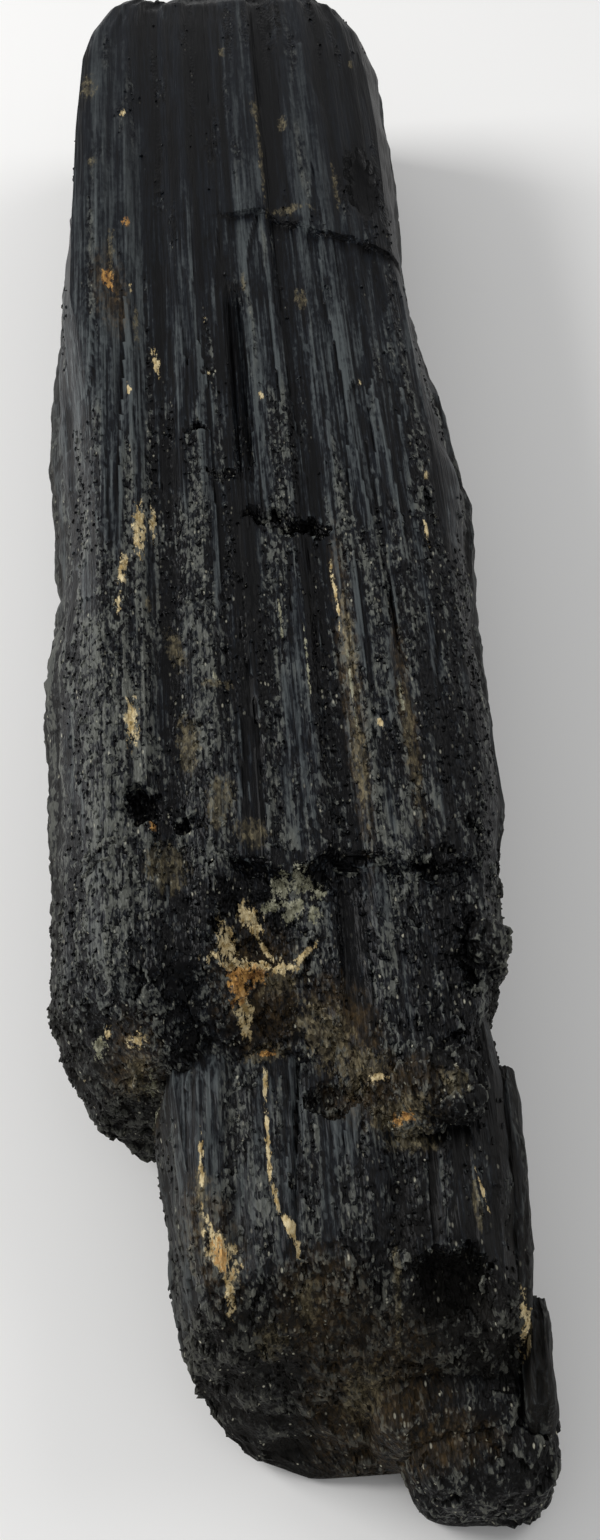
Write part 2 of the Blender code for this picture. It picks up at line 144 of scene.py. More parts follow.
# The lower crystal's outline, in the same order
NEAR_OUTLINE: Table = (
    (-60.0, -15.5, -13.5, 18.5, 20.5, 22.0), (-80.0, -15.2, -12.6, 19.5, 21.6, NEAR_TOP),
    (-90.0, -14.3, -11.6, 18.8, 20.9, NEAR_TOP), (-98.0, -13.6, -10.8, 18.0, 20.4, NEAR_TOP),
    (-102.0, -12.9, -10.2, 17.6, 20.2, NEAR_TOP), (-105.0, -11.6, -9.0, 17.0, 19.8, NEAR_TOP),
    (-108.0, -9.4, -7.0, 16.0, 19.0, NEAR_TOP), (-110.0, -6.0, -4.0, 14.0, 16.0, NEAR_TOP),
    (-111.6, -1.5, 0.0, 9.0, 11.0, NEAR_TOP),
)
NEAR_RIBS: Table = (
    (-11.5, -0.5), (-10.0, 0.1), (-8.2, 0.2), (-7.0, -0.5), (-5.4, -0.1), (-3.6, 0.1), (-1.6, 0.2),
    (-0.9, -0.6), (-0.2, 0.1), (1.4, 0.2), (3.2, 0.3), (4.6, 0.0), (6.2, 0.2), (7.6, -0.2), (8.6, -0.9),
    (10.4, -0.6), (12.0, -0.8), (12.8, 0.1), (14.2, 0.0), (15.5, -0.2), (17.0, -0.9),
)
# The broken near end: its upper edge and its foot (x, y), and the part of the height that
# the face between them has lost at each part of the way
NEAR_BREAK: Table = (
    (-12.0, -101.0), (-6.0, -99.0), (-1.0, -97.2), (15.0, -97.2), (18.5, -101.0),
)
NEAR_FOOT: Table = (
    (-13.0, -103.5), (-10.0, -107.5), (-7.0, -110.0), (-3.0, -111.3), (3.0, -112.4), (18.0, -112.8),
    (20.0, -108.0),
)
BREAK_FALL: Table = (
    (0.0, 0.0), (0.14, 0.03), (0.3, 0.1), (0.48, 0.24), (0.62, 0.42), (0.76, 0.63), (0.9, 0.86),
    (1.0, 0.96),
)

# Thin crystals along the lower crystal's right side: outlines in the same order
SIDE_PRISM: Table = (
    (-76.4, 18.2, 18.9, 21.8, 22.3, 17.0), (-78.0, 18.0, 18.8, 22.2, 22.9, 21.0),
    (-82.0, 17.6, 18.4, 22.2, 22.8, 21.8), (-89.0, 17.2, 18.0, 21.6, 22.4, 21.4),
    (-96.0, 16.6, 17.4, 21.0, 22.0, 20.6), (-101.0, 16.4, 17.2, 20.6, 21.6, 19.4),
    (-104.5, 16.4, 17.2, 20.4, 21.2, 17.0), (-105.6, 16.8, 17.4, 20.2, 20.8, 12.0),
)
SIDE_SLAB: Table = (
    (-99.0, 19.8, 20.3, 22.4, 22.9, 11.0), (-100.0, 19.7, 20.3, 22.8, 23.5, 15.0),
    (-103.0, 19.5, 20.1, 22.7, 23.5, 16.6), (-107.0, 19.3, 19.9, 22.4, 23.2, 16.2),
    (-110.5, 19.1, 19.7, 22.1, 22.8, 14.8), (-112.2, 19.3, 19.8, 21.8, 22.3, 11.0),
)
SIDE_RIBS: Table = ((17.6, -0.6), (18.4, 0.0), (19.3, -0.3), (20.3, 0.1), (21.4, -0.7))

# Hollows broken out of the upper faces: middle, half sizes, boxiness. The first eleven are
# the solid's own; the others are pits too shallow for it.
HOLLOWS: Table = (
    (-2.4, -65.8, 32.4, 5.8, 6.2, 3.9, 2.4), (19.0, -69.4, 30.4, 2.2, 5.6, 4.4, 2.4),
    (4.6, -8.6, 33.6, 4.6, 1.9, 2.0, 2.4), (-4.0, -0.2, 33.4, 1.8, 1.5, 1.3, 2.0),
    (2.2, 3.4, 33.6, 2.0, 1.1, 1.2, 2.0), (-14.6, -50.4, 32.6, 2.2, 2.3, 2.4, 2.2),
    (22.4, -53.6, 30.6, 2.6, 1.4, 2.4, 2.2), (16.8, -58.4, 32.0, 2.4, 2.0, 2.0, 2.2),
    (19.4, 62.0, 32.6, 2.5, 8.6, 2.3, 2.2), (3.2, -82.6, 25.2, 3.2, 1.9, 2.0, 2.4),
    (13.0, -101.8, 22.4, 3.4, 3.4, 3.2, 3.4), (-9.2, -39.6, 32.6, 1.0, 1.6, 0.9, 2.0),
    (-10.2, -52.8, 31.6, 1.5, 1.0, 1.0, 2.0), (11.0, -57.0, 33.0, 2.2, 1.2, 1.2, 2.0),
    (2.0, -73.7, 31.0, 3.2, 1.2, 3.0, 2.2), (-6.4, -61.0, 32.0, 1.6, 1.8, 1.4, 2.2),
    (15.5, -70.5, 31.0, 2.0, 2.4, 2.2, 2.2), (-5.2, 20.4, 33.2, 0.7, 2.6, 0.8, 2.0),
    (7.0, 2.0, 33.2, 0.8, 1.4, 0.7, 2.0), (-7.2, 8.6, 33.0, 0.9, 1.2, 0.8, 2.0),
    (20.6, -33.0, 32.6, 0.8, 1.8, 0.9, 2.0), (-1.0, -91.0, 24.8, 0.7, 1.6, 0.8, 2.0),
    (8.6, -88.2, 25.0, 0.9, 2.2, 1.0, 2.2), (5.6, -9.4, 33.0, 3.6, 1.6, 3.4, 2.2),
    (0.8, -7.2, 33.0, 3.0, 1.1, 2.8, 2.2), (4.0, -59.6, 31.8, 3.0, 1.5, 3.2, 2.2),
    (15.2, -59.4, 31.8, 3.4, 1.4, 2.8, 2.2), (-5.2, -75.4, 30.2, 2.6, 1.4, 2.2, 2.2),
    (-18.4, -72.4, 30.6, 1.6, 1.2, 1.6, 2.2), (13.4, -64.4, 31.0, 1.5, 1.3, 2.2, 2.2),
    (12.8, -72.4, 30.4, 1.3, 2.0, 2.0, 2.2), (16.2, -77.0, 30.0, 1.7, 1.7, 2.2, 2.2),
    (11.8, -81.0, 29.2, 1.8, 1.2, 1.6, 2.2),
)


class Stain(Enum):
    """What a mark on the surface is. The value names the attribute that carries it."""

    OCHRE = "ochre"     # iron ochre, orange and powdery
    CREAM = "cream"     # clay and mica flour, pale
    CRUST = "crust"     # a greenish grey crust of clay, full of holes
    OLIVE = "olive"     # thin yellowish-grey dust
    FILM = "film"       # a brown film, thin enough to see the mineral through
    FRESH = "fresh"     # cleft mineral that nothing has rubbed yet, the blackest of all, and painted shadow under the lip, in ledge cracks and in hollows


# Marks on the surface: x, y, half width, half length, and where it leans the lean in X per
# mm of Y
MARKS: dict[Stain, Table] = {
    Stain.CREAM: (
        (-15.8, 81.5, 0.5, 0.8), (-11.9, 23.1, 0.5, 3.0, -0.1), (-15.5, 16.5, 0.4, 1.1),
        (-14.5, -9.4, 0.8, 5.0), (-12.8, -7.9, 0.35, 3.6), (-16.5, -16.1, 0.55, 2.6, 0.1),
        (-17.0, -21.4, 0.4, 2.0), (-15.7, -39.2, 0.8, 3.6), (21.6, 0.3, 0.4, 0.9),
        (8.4, -21.6, 0.16, 6.4, -0.03), (20.4, -10.0, 0.2, 2.5), (11.6, -40.6, 0.4, 0.7),
        (-4.1, -63.6, 1.3, 1.8, -0.3), (-6.5, -66.6, 1.1, 2.4), (-2.9, -66.5, 0.36, 2.8, -0.47),
        (-4.6, -69.2, 4.0, 0.9), (1.5, -68.0, 0.5, 1.6, 1.0), (-0.8, -69.6, 1.6, 0.7),
        (-5.2, -73.6, 0.9, 1.9), (-3.5, -80.6, 0.24, 2.4), (-3.6, -86.6, 0.26, 5.6),
        (-3.1, -93.0, 0.26, 2.4, -0.22), (-1.9, -96.4, 0.5, 2.2, -0.3), (-10.2, -87.9, 0.28, 3.2),
        (-9.7, -94.6, 0.4, 2.4, -0.25), (-8.6, -97.7, 1.5, 2.7, -0.3), (-8.0, -101.3, 0.5, 1.6),
        (19.9, -103.4, 0.6, 2.3), (16.6, -92.4, 0.14, 3.4, -0.2), (-15.9, -75.4, 0.7, 0.7),
        (-15.0, 38.4, 0.24, 1.2), (1.6, 15.5, 0.4, 0.8), (-5.0, 31.1, 0.24, 0.5), (14.7, 17.2, 0.28, 0.5),
        (-5.0, 19.6, 0.24, 0.6), (-22.4, -75.3, 0.45, 0.7), (-16.8, -77.9, 0.5, 0.7),
        (-19.6, -73.4, 0.4, 0.5), (7.8, -82.0, 1.1, 0.5, -0.6),
    ),
    Stain.OCHRE: (
        (-15.5, 53.7, 0.7, 1.0), (-18.1, 40.6, 0.8, 2.6, -0.1), (-13.7, -53.0, 0.5, 0.7),
        (-4.5, -70.3, 2.2, 1.2), (-5.7, -71.6, 1.1, 1.6), (-3.2, -76.7, 1.0, 0.4, 0.5),
        (9.8, -85.6, 1.1, 0.5, -0.7), (-8.6, -97.9, 1.0, 1.8, -0.3),
    ),
    Stain.CRUST: (
        (-0.6, -60.6, 1.1, 1.4), (1.7, -59.8, 1.3, 1.5), (3.3, -61.0, 1.0, 1.3),
        (0.6, -62.7, 1.5, 1.4, 0.3), (-1.5, -62.4, 1.8, 0.7), (2.6, -63.6, 0.8, 1.1),
        (-20.2, -74.0, 0.7, 0.9), (-15.2, -78.0, 0.9, 0.8), (8.9, -36.0, 0.14, 6.0),
        (4.2, -31.0, 0.14, 7.0), (1.6, -25.0, 0.12, 4.0, 0.02), (14.4, -38.0, 0.14, 4.0),
        (-6.2, -33.4, 0.5, 0.5), (13.0, -23.0, 0.12, 3.0),
    ),
    Stain.OLIVE: (
        (-21.0, 89.0, 1.2, 3.4), (-20.3, 68.1, 0.6, 1.2), (0.1, 97.4, 0.5, 1.4), (4.4, 80.8, 0.7, 2.4),
        (8.4, 77.0, 0.7, 2.0), (20.4, 94.5, 0.5, 1.2), (0.6, 39.6, 0.5, 1.8), (8.2, 35.7, 0.7, 2.6),
        (-17.6, 47.0, 0.5, 5.0), (-14.4, 30.0, 0.4, 4.5), (-13.4, -21.6, 0.5, 1.4),
        (-10.6, -28.4, 1.0, 3.2, -0.2), (-9.6, -41.9, 1.4, 4.0), (-6.2, -34.6, 1.8, 0.7, 0.5),
        (15.1, 60.6, 0.4, 5.6), (8.4, 55.0, 3.0, 0.9, -0.3), (4.6, 70.0, 0.35, 14.0),
        (9.2, -30.0, 0.7, 9.0), (9.0, -46.0, 0.8, 8.0), (14.8, -44.0, 0.7, 9.0),
        (3.0, -76.6, 2.6, 3.6, -0.4), (6.2, -80.4, 2.6, 2.0, -0.6), (9.4, -85.2, 3.4, 1.3, -0.6),
        (-1.6, -70.8, 2.4, 1.4, 0.3), (-3.4, -76.9, 2.2, 0.9, 0.5), (10.2, -87.4, 2.6, 1.2, -0.4),
        (14.8, -83.6, 1.5, 1.5), (-10.2, -91.4, 0.6, 3.4), (-0.9, -101.6, 1.2, 2.0),
        (-4.6, -104.1, 1.5, 1.2), (4.4, -107.6, 2.2, 1.7, 0.2), (7.7, -101.5, 0.4, 4.2),
        (16.0, -94.4, 0.4, 2.6), (-16.8, -77.2, 1.2, 1.4), (-12.4, -58.0, 2.2, 3.0),
        (-6.4, -50.6, 1.6, 3.2, 0.2), (-3.4, -54.6, 1.8, 1.8),
    ),
    Stain.FILM: (
        (8.0, -83.0, 5.2, 3.6, -0.4), (4.6, -76.0, 3.4, 5.4, -0.2), (-3.5, -70.8, 4.4, 5.6),
        (5.4, -108.0, 6.4, 4.6), (11.0, -112.4, 5.4, 2.4), (-17.8, 38.0, 2.2, 9.0, -0.1),
        (-17.0, -77.0, 3.0, 3.6), (-9.4, -96.0, 2.4, 6.0, -0.2), (0.6, -101.6, 4.0, 4.0),
        (9.0, -34.0, 1.2, 22.0), (14.8, -40.0, 1.0, 14.0),
    ),
    # Fresh black mineral on dark columns and the oval cleft, and painted shadow under the overhanging lip,
    # along the far ledge's crack, below the near ledge and in the hollows
    Stain.FRESH: (
        (-8.8, 70.0, 0.9, 42.0), (-5.5, 68.0, 0.7, 38.0), (5.5, 67.7, 0.4, 14.0), (18.9, 62.1, 3.6, 9.6),
        (-10.4, 2.6, 2.6, 8.6), (-7.4, 19.8, 1.0, 17.0), (-2.2, -17.6, 2.0, 13.0), (5.6, -25.4, 1.2, 15.0),
        (3.2, -8.6, 4.6, 2.6, -1.8), (7.8, 3.1, 1.0, 7.0), (-11.1, -26.2, 1.1, 13.0),
        (-3.6, -34.0, 2.6, 6.0), (18.4, -40.2, 3.7, 8.0), (12.2, -46.0, 1.2, 8.0), (-5.0, -61.5, 4.8, 3.2),
        (-4.3, -66.4, 3.6, 3.2), (-0.9, -66.4, 2.6, 3.6), (-8.6, -64.4, 2.6, 4.4),
        (2.3, -72.3, 4.0, 2.8, 0.2), (-5.4, -75.7, 5.2, 3.0, 0.3), (15.3, -67.6, 4.4, 5.4),
        (15.6, -57.4, 4.2, 3.2), (14.4, -75.4, 3.6, 4.0), (6.0, -57.4, 3.0, 1.4), (3.8, -59.2, 3.0, 2.4),
        (6.2, -91.6, 1.8, 4.0), (10.7, -96.6, 8.0, 2.6), (-3.6, -106.4, 8.0, 6.4), (-14.5, -50.8, 3.0, 4.6),
        (-8.4, -53.6, 1.6, 2.4), (-12.5, -68.6, 4.4, 3.4), (17.9, -107.8, 2.4, 1.4),
        (-18.7, -74.6, 3.4, 3.6), (18.2, -83.0, 2.6, 6.0), (14.6, -87.6, 4.6, 2.3, 0.1),
        (12.8, -81.4, 4.2, 1.6), (-8.6, -75.4, 2.4, 3.0), (0.2, -58.8, 2.4, 1.6), (13.4, -101.2, 5.6, 3.4),
        (4.6, -98.4, 5.0, 1.5, 0.1), (0.4, 54.2, 3.8, 0.5), (7.4, 52.2, 3.2, 0.7, -1.4),
        (12.6, 48.6, 3.2, 0.6, -1.2), (18.4, 46.8, 3.8, 0.8, -1.8), (22.4, 45.4, 2.8, 1.1, -1.8),
    ),
}

# How light the thick crystal's columns are painted, as painted light and shade by how each is
# tilted to the light, from left to right: x, change of tone
LOG_COLUMN_SHADING: Table = (
    (-26.0, 0.0), (-21.5, 0.04), (-19.6, 0.3), (-17.5, 0.22), (-13.6, 0.18), (-12.6, -0.1), (-10.4, -0.12),
    (-9.2, 0.2), (-6.4, 0.16), (-5.2, -0.1), (-0.4, -0.12), (0.6, 0.2), (4.2, 0.15), (5.0, -0.18),
    (7.6, -0.16), (9.0, 0.16), (13.8, 0.15), (15.4, -0.06), (19.0, 0.0), (22.0, -0.1),
)
# The same for the lower crystal
NEAR_COLUMN_SHADING: Table = (
    (-15.0, 0.0), (-12.0, 0.28), (-9.4, 0.24), (-7.0, 0.1), (-3.0, 0.2), (1.0, 0.14), (5.0, 0.22),
    (7.4, 0.1), (9.4, -0.12), (12.2, -0.1), (13.2, 0.12), (18.0, -0.08),
)
# How light the mineral is painted along the grain, darker towards both ends, partly as painted
# shade on the near end's faces turned from the light: y, change of tone
SHADE_AND_TONE_ALONG: Table = (
    (-112.0, -0.1), (-104.0, -0.06), (-98.0, 0.0), (-86.0, 0.02), (-80.0, -0.05), (-62.0, -0.03),
    (-50.0, 0.0), (0.0, 0.0), (15.0, 0.06), (50.0, 0.06), (80.0, -0.02), (110.0, -0.05),
)

FAR_PART = 100.0         # past this place along Y only the far tip is broken
FREE_HEIGHT = 2.4        # below this height the skin is held flat towards the floor
TIP_RINGS = 30           # rings that close each end of a crystal
TIP_TURN = 1.5           # how far round they go, in radians
CRUMBLY_BEFORE = 45.0    # hollows nearer than this hold crumbs; the far one is a clean cleft
SPLIT_OVERLAP = 0.8      # the thick crystal's two skins overlap this much at the ledge
LEDGE_END = 4.0          # length over which a ledge fades in and out in X
BREAK_BEND = 16.0        # rings bend along the near break within this distance of it
HOLLOW_RIM = 4.0         # how steeply a hollow's inside starts to look crumbly
MARK_REACH = 1.35        # how far a mark's faint edge goes, in parts of its half size
FADE = 4.0               # marks, grains and side swell fade over this height
SIDE_SWELL = 31.0        # the swell of the sides ends at this height
DUSTY: Span = (27.0, 19.0)          # brown dust thickens from the first height to the second
SATIN = 0.72                        # share of relief and grit that the satin far half lacks
SATIN_ALONG: Span = (0.0, 80.0)     # where that share grows, along Y
SATIN_UP: Span = (20.0, 30.0)       # and in Z
SIDE_SPACING: Span = (6.0, 30.0)    # what a side's reach and height count in its spacing
USUAL_WEAR = 0.4
LUMP_DUST = 0.35
SHARP_EDGE = 32.0        # edges sharper than this many degrees stay crisp


# ---- reading tables ----

def along(table: Table, places: Field | float, column: int = 1) -> Field:
    """Read one column of a table at given places, straight between its rows.

    Args:
        table: rows of (place, value...).
        places: where to read it.
        column: which value to read.

    Returns:
        The values at those places.
    """
    rows = np.array(sorted(table), dtype=float)
    return np.interp(places, rows[:, 0], rows[:, column])


def ease(part: Field) -> Field:
    """0 below 0, 1 above 1, and smooth between."""
    part = np.clip(part, 0.0, 1.0)
    return part * part * (3.0 - 2.0 * part)


def ramp(places: Field, span: Span) -> Field:
    """0 before a span's first end, 1 past its second end, and smooth between."""
    return ease((places - span[0]) / (span[1] - span[0]))


def mean_y(line: Table) -> float:
    """The mean place of a line along Y."""
    return sum(point[1] for point in line) / len(line)


def steps(start: float, stop: float, size: float) -> Field:
    """Evenly spaced places from start to stop, both included."""
    return np.linspace(start, stop, max(2, round(abs(stop - start) / size) + 1))


def ledge_drop(ledge: tuple, x: Field, y: Field) -> Field:
    """How far the upper face has dropped on the near side of a ledge.

    Args:
        ledge: its line, its drop, and its first and last X.
        x, y: the places.

    Returns:
        The drop at each place.
    """
    line, drop, first, last = ledge
    across = ease((x - first) / LEDGE_END) * ease((last - x) / LEDGE_END)
    return drop * across * ease((along(line, x) - y) / LEDGE_STEP + 0.5)


def ragged(x: Field, y: Field) -> tuple[Field, Field]:
    """Push places about by up to a millimetre, so that outlines turn out uneven.

    Args:
        x, y: the places.

    Returns:
        The pushed places. Waves of unlike lengths keep the push from repeating.
    """
    across = 0.42 * np.sin(1.9 * y + 0.8 * x) + 0.2 * np.sin(4.3 * y - 2.9 * x + 1.0)
    uneven = 0.6 + 0.4 * np.sin(0.9 * x + 2.1)
    down = uneven * (0.7 * np.sin(1.7 * x - 0.6 * y + 2.0) + 0.2 * np.sin(4.1 * x + 3.7 * y))
    return x + across, y + down


def carve(x: Field, y: Field, z: Field) -> tuple[Field, Field]:
    """Sink the hollows into a surface.

    Args:
        x, y, z: the surface's places.

    Returns:
        The lowered heights, and how much each place is inside a hollow.
    """
    x, y = ragged(x, y)
    inside = np.zeros_like(z)
    for middle_x, middle_y, middle_z, half_x, half_y, half_z, boxiness in HOLLOWS:
        reach = np.abs((x - middle_x) / half_x) ** boxiness
        reach = reach + np.abs((y - middle_y) / half_y) ** boxiness
        part = np.clip(1.0 - reach, 0.0, 1.0)
        floor = middle_z - half_z * part ** (1.0 / boxiness)
        sunk = (part > 0.0) & (z > floor)
        inside = np.maximum(inside, np.where(sunk, ease(part * HOLLOW_RIM), 0.0))
        z = np.where(sunk, floor, z)
    return z, inside


# ---- nodes ----

# Node types, most of them with the one setting that they are used with
ADD, SUBTRACT, MULTIPLY, DIVIDE, MULTIPLY_ADD, MAXIMUM = (
    ("ShaderNodeMath", {"operation": name})
    for name in ("ADD", "SUBTRACT", "MULTIPLY", "DIVIDE", "MULTIPLY_ADD", "MAXIMUM"))
V_DIVIDE, V_SUBTRACT, V_DOT, V_MULTIPLY_ADD, V_SCALE = (
    ("ShaderNodeVectorMath", {"operation": name})
    for name in ("DIVIDE", "SUBTRACT", "DOT_PRODUCT", "MULTIPLY_ADD", "SCALE"))
COLOUR_MIX, FLOAT_MIX = (("ShaderNodeMix", {"data_type": name}) for name in ("RGBA", "FLOAT"))
NAMED = ("GeometryNodeInputNamedAttribute", {"data_type": "FLOAT"})
CELLS = ("ShaderNodeTexVoronoi", {"feature": "F1"})
NOISE = ("ShaderNodeTexNoise", {})
PLACING = ("ShaderNodeMapping", {"vector_type": "POINT"})
RANGE = ("ShaderNodeMapRange", {})
STORED = ("GeometryNodeStoreNamedAttribute", {"data_type": "FLOAT"})
RANDOM = ("FunctionNodeRandomValue", {})
SPLIT = ("ShaderNodeSeparateXYZ", {})
SPLIT_COLOUR = ("ShaderNodeSeparateColor", {})


def add_node(tree: bpy.types.NodeTree, kind: str | tuple, *inputs: object,
             **settings: object) -> bpy.types.Node:
    """Add a node with its settings and links.

    Args:
        tree: the tree that gets the node.
        kind: the node's type, alone or with usual settings.
        inputs: values for the first inputs, or a dict of values by input. A value may be
            another node's output, or another node, which stands for its first output.
        settings: more of the node's own properties.

    Returns:
        The new node.
    """
    name, usual = (kind, {}) if isinstance(kind, str) else kind
    node = tree.nodes.new(name)
    for setting, value in {**usual, **settings}.items():
        setattr(node, setting, value)
    links = inputs[0] if inputs and isinstance(inputs[0], dict) else dict(enumerate(inputs))
    for key, value in links.items():
        if isinstance(value, bpy.types.Node):
            value = value.outputs[0]
        if isinstance(value, bpy.types.NodeSocket):
            tree.links.new(value, node.inputs[key])
        else:
            node.inputs[key].default_value = value
    return node


def srgb(code: str) -> tuple[float, float, float, float]:
    """Turn a hex sRGB colour to linear.

    Args:
        code: six digits, such as 1a2b3c.

    Returns:
        Linear red, green, blue and alpha.
    """
    parts = [int(code[place:place + 2], 16) / 255.0 for place in (0, 2, 4)]
    linear = [p / 12.92 if p <= 0.04045 else ((p + 0.055) / 1.055) ** 2.4 for p in parts]
    return (linear[0], linear[1], linear[2], 1.0)


SOCKETS = {
    "Geometry": "NodeSocketGeometry", "Material": "NodeSocketMaterial",
    float: "NodeSocketFloat", int: "NodeSocketInt", tuple: "NodeSocketVector",
}


def new_tree(name: str, inputs: dict, outputs: tuple = ("Geometry",)) -> bpy.types.NodeTree:
    """Make a Geometry Nodes tree with named sockets.

    Args:
        name: the tree's name.
        inputs: each input's default, which also gives its type.
        outputs: names of the outputs.

    Returns:
        The tree, still without nodes.
    """
    tree = bpy.data.node_groups.new(name, "GeometryNodeTree")
    for label, default in inputs.items():
        kind = SOCKETS[label if default is None else type(default)]
        socket = tree.interface.new_socket(label, in_out="INPUT", socket_type=kind)
        if default is not None:
            socket.default_value = default
    for label in outputs:
        kind = SOCKETS.get(label, SOCKETS[float])
        tree.interface.new_socket(label, in_out="OUTPUT", socket_type=kind)
    return tree


def end_tree(add: Adder, geometry: bpy.types.Node, material: bpy.types.NodeSocket) -> None:
    """End a tree by realizing its instances and setting the material.

    Args:
        add: adds a node to the tree.
        geometry: the node that gives its finished geometry.
        material: the tree's material input.
    """
    whole = add("GeometryNodeRealizeInstances", geometry)
    dressed = add("GeometryNodeSetMaterial", {"Geometry": whole, "Material": material})
    add("NodeGroupOutput", dressed)


def facet_group() -> bpy.types.NodeTree:
    """Make a group that gives the relief of flat, stepped and tilted facets.

    Returns:
        The group. Cell is a facet's size, Step how far it stands out and Slope its tilt.
    """
    defaults = {"Place": (0.0, 0.0, 0.0), "Cell": (1.0, 1.0, 1.0), "Step": 0.1, "Slope": 0.1}
    tree = new_tree("cleaved_facets", defaults, ("Relief", "Tone"))
    add = partial(add_node, tree)
    given = add("NodeGroupInput").outputs
    place = add(V_DIVIDE, given["Place"], given["Cell"])
    cells = add(CELLS, {"Vector": place, "Scale": 1.0, "Randomness": 1.0})
    offset = add(V_SUBTRACT, place, cells.outputs["Position"])
    random = add(V_SUBTRACT, cells.outputs["Color"], (0.5, 0.5, 0.5))
    tilt = add(V_DOT, offset, random)
    parts = add(SPLIT, random).outputs
    step = add(MULTIPLY, parts[0], given["Step"])
    relief = add(MULTIPLY_ADD, tilt.outputs["Value"], given["Slope"], step)
    add("NodeGroupOutput", {"Relief": relief, "Tone": parts[1]})
    return tree


# Cells and heights are in millimetres. Blades and striae are long facets along the grain.
SKIN_INPUTS = {
    "Geometry": None,
    "Blade Cell": (2.9, 70.0, 2.9), "Blade Height": 0.5,
    "Stria Cell": (0.8, 32.0, 0.8), "Stria Height": 0.11,
    "Grain Cell": (2.4, 3.4, 2.4), "Grain Height": 0.65,
    "Crumb Cell": (0.8, 1.2, 0.8), "Crumb Height": 0.28,
    "Wear Cell": (2.6, 30.0, 2.6),
    "Swell Cell": (5.0, 10.0, 5.0), "Swell Height": 2.0,
    "Material": None,
}
# Each kind of facet, how much it tilts, and whether it follows the grain
FACETS = (("Blade", 1.5, True), ("Stria", 1.4, True), ("Grain", 1.6, False),
          ("Crumb", 1.5, False))
WARP_SCALE = 0.02                       # the grain wanders in waves of 50 mm,
WARP: Triple = (2.2, 0.0, 2.2)          # this far across
WEAR_SHARE = 0.2                        # how much a skin's own wear counts beside the noise
WORN: Span = (0.54, 0.68)               # between these, crumbs break out of the striae,
WORN_ROUGH = 0.8                        # which gets this rough
KEPT_LINES = 0.35                       # least part of the long facets that stays there
SOFTENING = 5                           # rounds of blur that tell what stands proud


def skin_tree() -> bpy.types.NodeTree:
    """Make the tree that cuts blades, striae, grains and crumbs into a smooth skin.

    Grains and crumbs lie on broken parts and in patches where the striae have worn off.
    The seed is fixed: the cells depend on place alone.

    Returns:
        The tree. It also stores how proud, rough and light each vertex is.
    """
    tree = new_tree("weathered_skin", SKIN_INPUTS)
    add = partial(add_node, tree)
    facets = facet_group()
    given = add("NodeGroupInput").outputs
    position = add("GeometryNodeInputPosition")
    place = add(V_SCALE, {0: position, "Scale": 1.0 / MM})
    warp = add(NOISE, {"Vector": place, "Scale": WARP_SCALE, "Detail": 1.0})
    bent = add(V_MULTIPLY_ADD, warp.outputs["Color"], WARP, place)
    fields = {name: add(NAMED, {"Name": name})
              for name in ("broken", "free", "lean", "wear", "side", "crisp")}
    apart = add(SPLIT, bent).outputs
    leant = add(ADD, apart[0], fields["lean"])
    grain_place = add("ShaderNodeCombineXYZ", leant, apart[1], apart[2])

    facet = {}
    for name, slope, follows in FACETS:
        size = given[name + " Height"]
        tilt = add(MULTIPLY, size, slope)
        facet[name] = add("GeometryNodeGroup", {
            "Place": grain_place if follows else place, "Cell": given[name + " Cell"],
            "Step": size, "Slope": tilt,
        }, node_tree=facets).outputs

    patch_place = add(V_DIVIDE, grain_place, given["Wear Cell"])
    patches = add(NOISE, {"Vector": patch_place, "Scale": 1.0, "Detail": 4.0,
                          "Roughness": 0.6})
    wear = add(MULTIPLY_ADD, fields["wear"], WEAR_SHARE, patches)
    worn = add(RANGE, wear, *WORN, 0.0, WORN_ROUGH, interpolation_type="SMOOTHSTEP")
    rough = add(MAXIMUM, fields["broken"], worn)
    smooth = add(SUBTRACT, 1.0, rough)
    kept = add(MAXIMUM, smooth, KEPT_LINES)
    calm = add(MULTIPLY, kept, fields["crisp"])
    long_forms = add(ADD, facet["Blade"]["Relief"], facet["Stria"]["Relief"])
    height = add(MULTIPLY, long_forms, calm)
    swell_place = add(V_DIVIDE, place, given["Swell Cell"])
    swelling = add(NOISE, {"Vector": swell_place, "Scale": 1.0, "Detail": 2.0})
    centred = add(SUBTRACT, swelling, 0.5)
    swell = add(MULTIPLY, centred, given["Swell Height"])
    for relief, share in ((facet["Grain"]["Relief"], fields["broken"]),
                          (facet["Crumb"]["Relief"], rough), (swell, fields["side"])):
        height = add(MULTIPLY_ADD, relief, share, height)
    height = add(MULTIPLY, height, fields["free"])
    metres = add(MULTIPLY, height, MM)
    normal = add("GeometryNodeInputNormal")
    offset = add(V_SCALE, {0: normal, "Scale": metres})

    tones = [add(ADD, facet[first]["Tone"], facet[second]["Tone"])
             for first, second in (("Blade", "Stria"), ("Grain", "Crumb"))]
    # How far each vertex stands out of its surroundings; the finish paints shade into creases and highlight
    # onto ridges from it
    around = add("GeometryNodeBlurAttribute", {"Value": height, "Iterations": SOFTENING},
                 data_type="FLOAT")
    proud = add(SUBTRACT, height, around)
    geometry = given["Geometry"]
    for name, value in (("proud", proud), ("rough_part", rough),
                        ("column_tone", tones[0]), ("chip_tone", tones[1])):
        geometry = add(STORED, {"Geometry": geometry, "Name": name, "Value": value},
                       domain="POINT")
    moved = add("GeometryNodeSetPosition", {"Geometry": geometry, "Offset": offset})
    end_tree(add, moved, given["Material"])
    return tree


# Density is the grains on a square millimetre of fully rough surface, and Grain Size is the
# scale of their half widths in millimetres.
GRAIN_INPUTS = {"Geometry": None, "Density": 1.3, "Grain Size": 0.42, "Seed": 7,
                "Material": None}


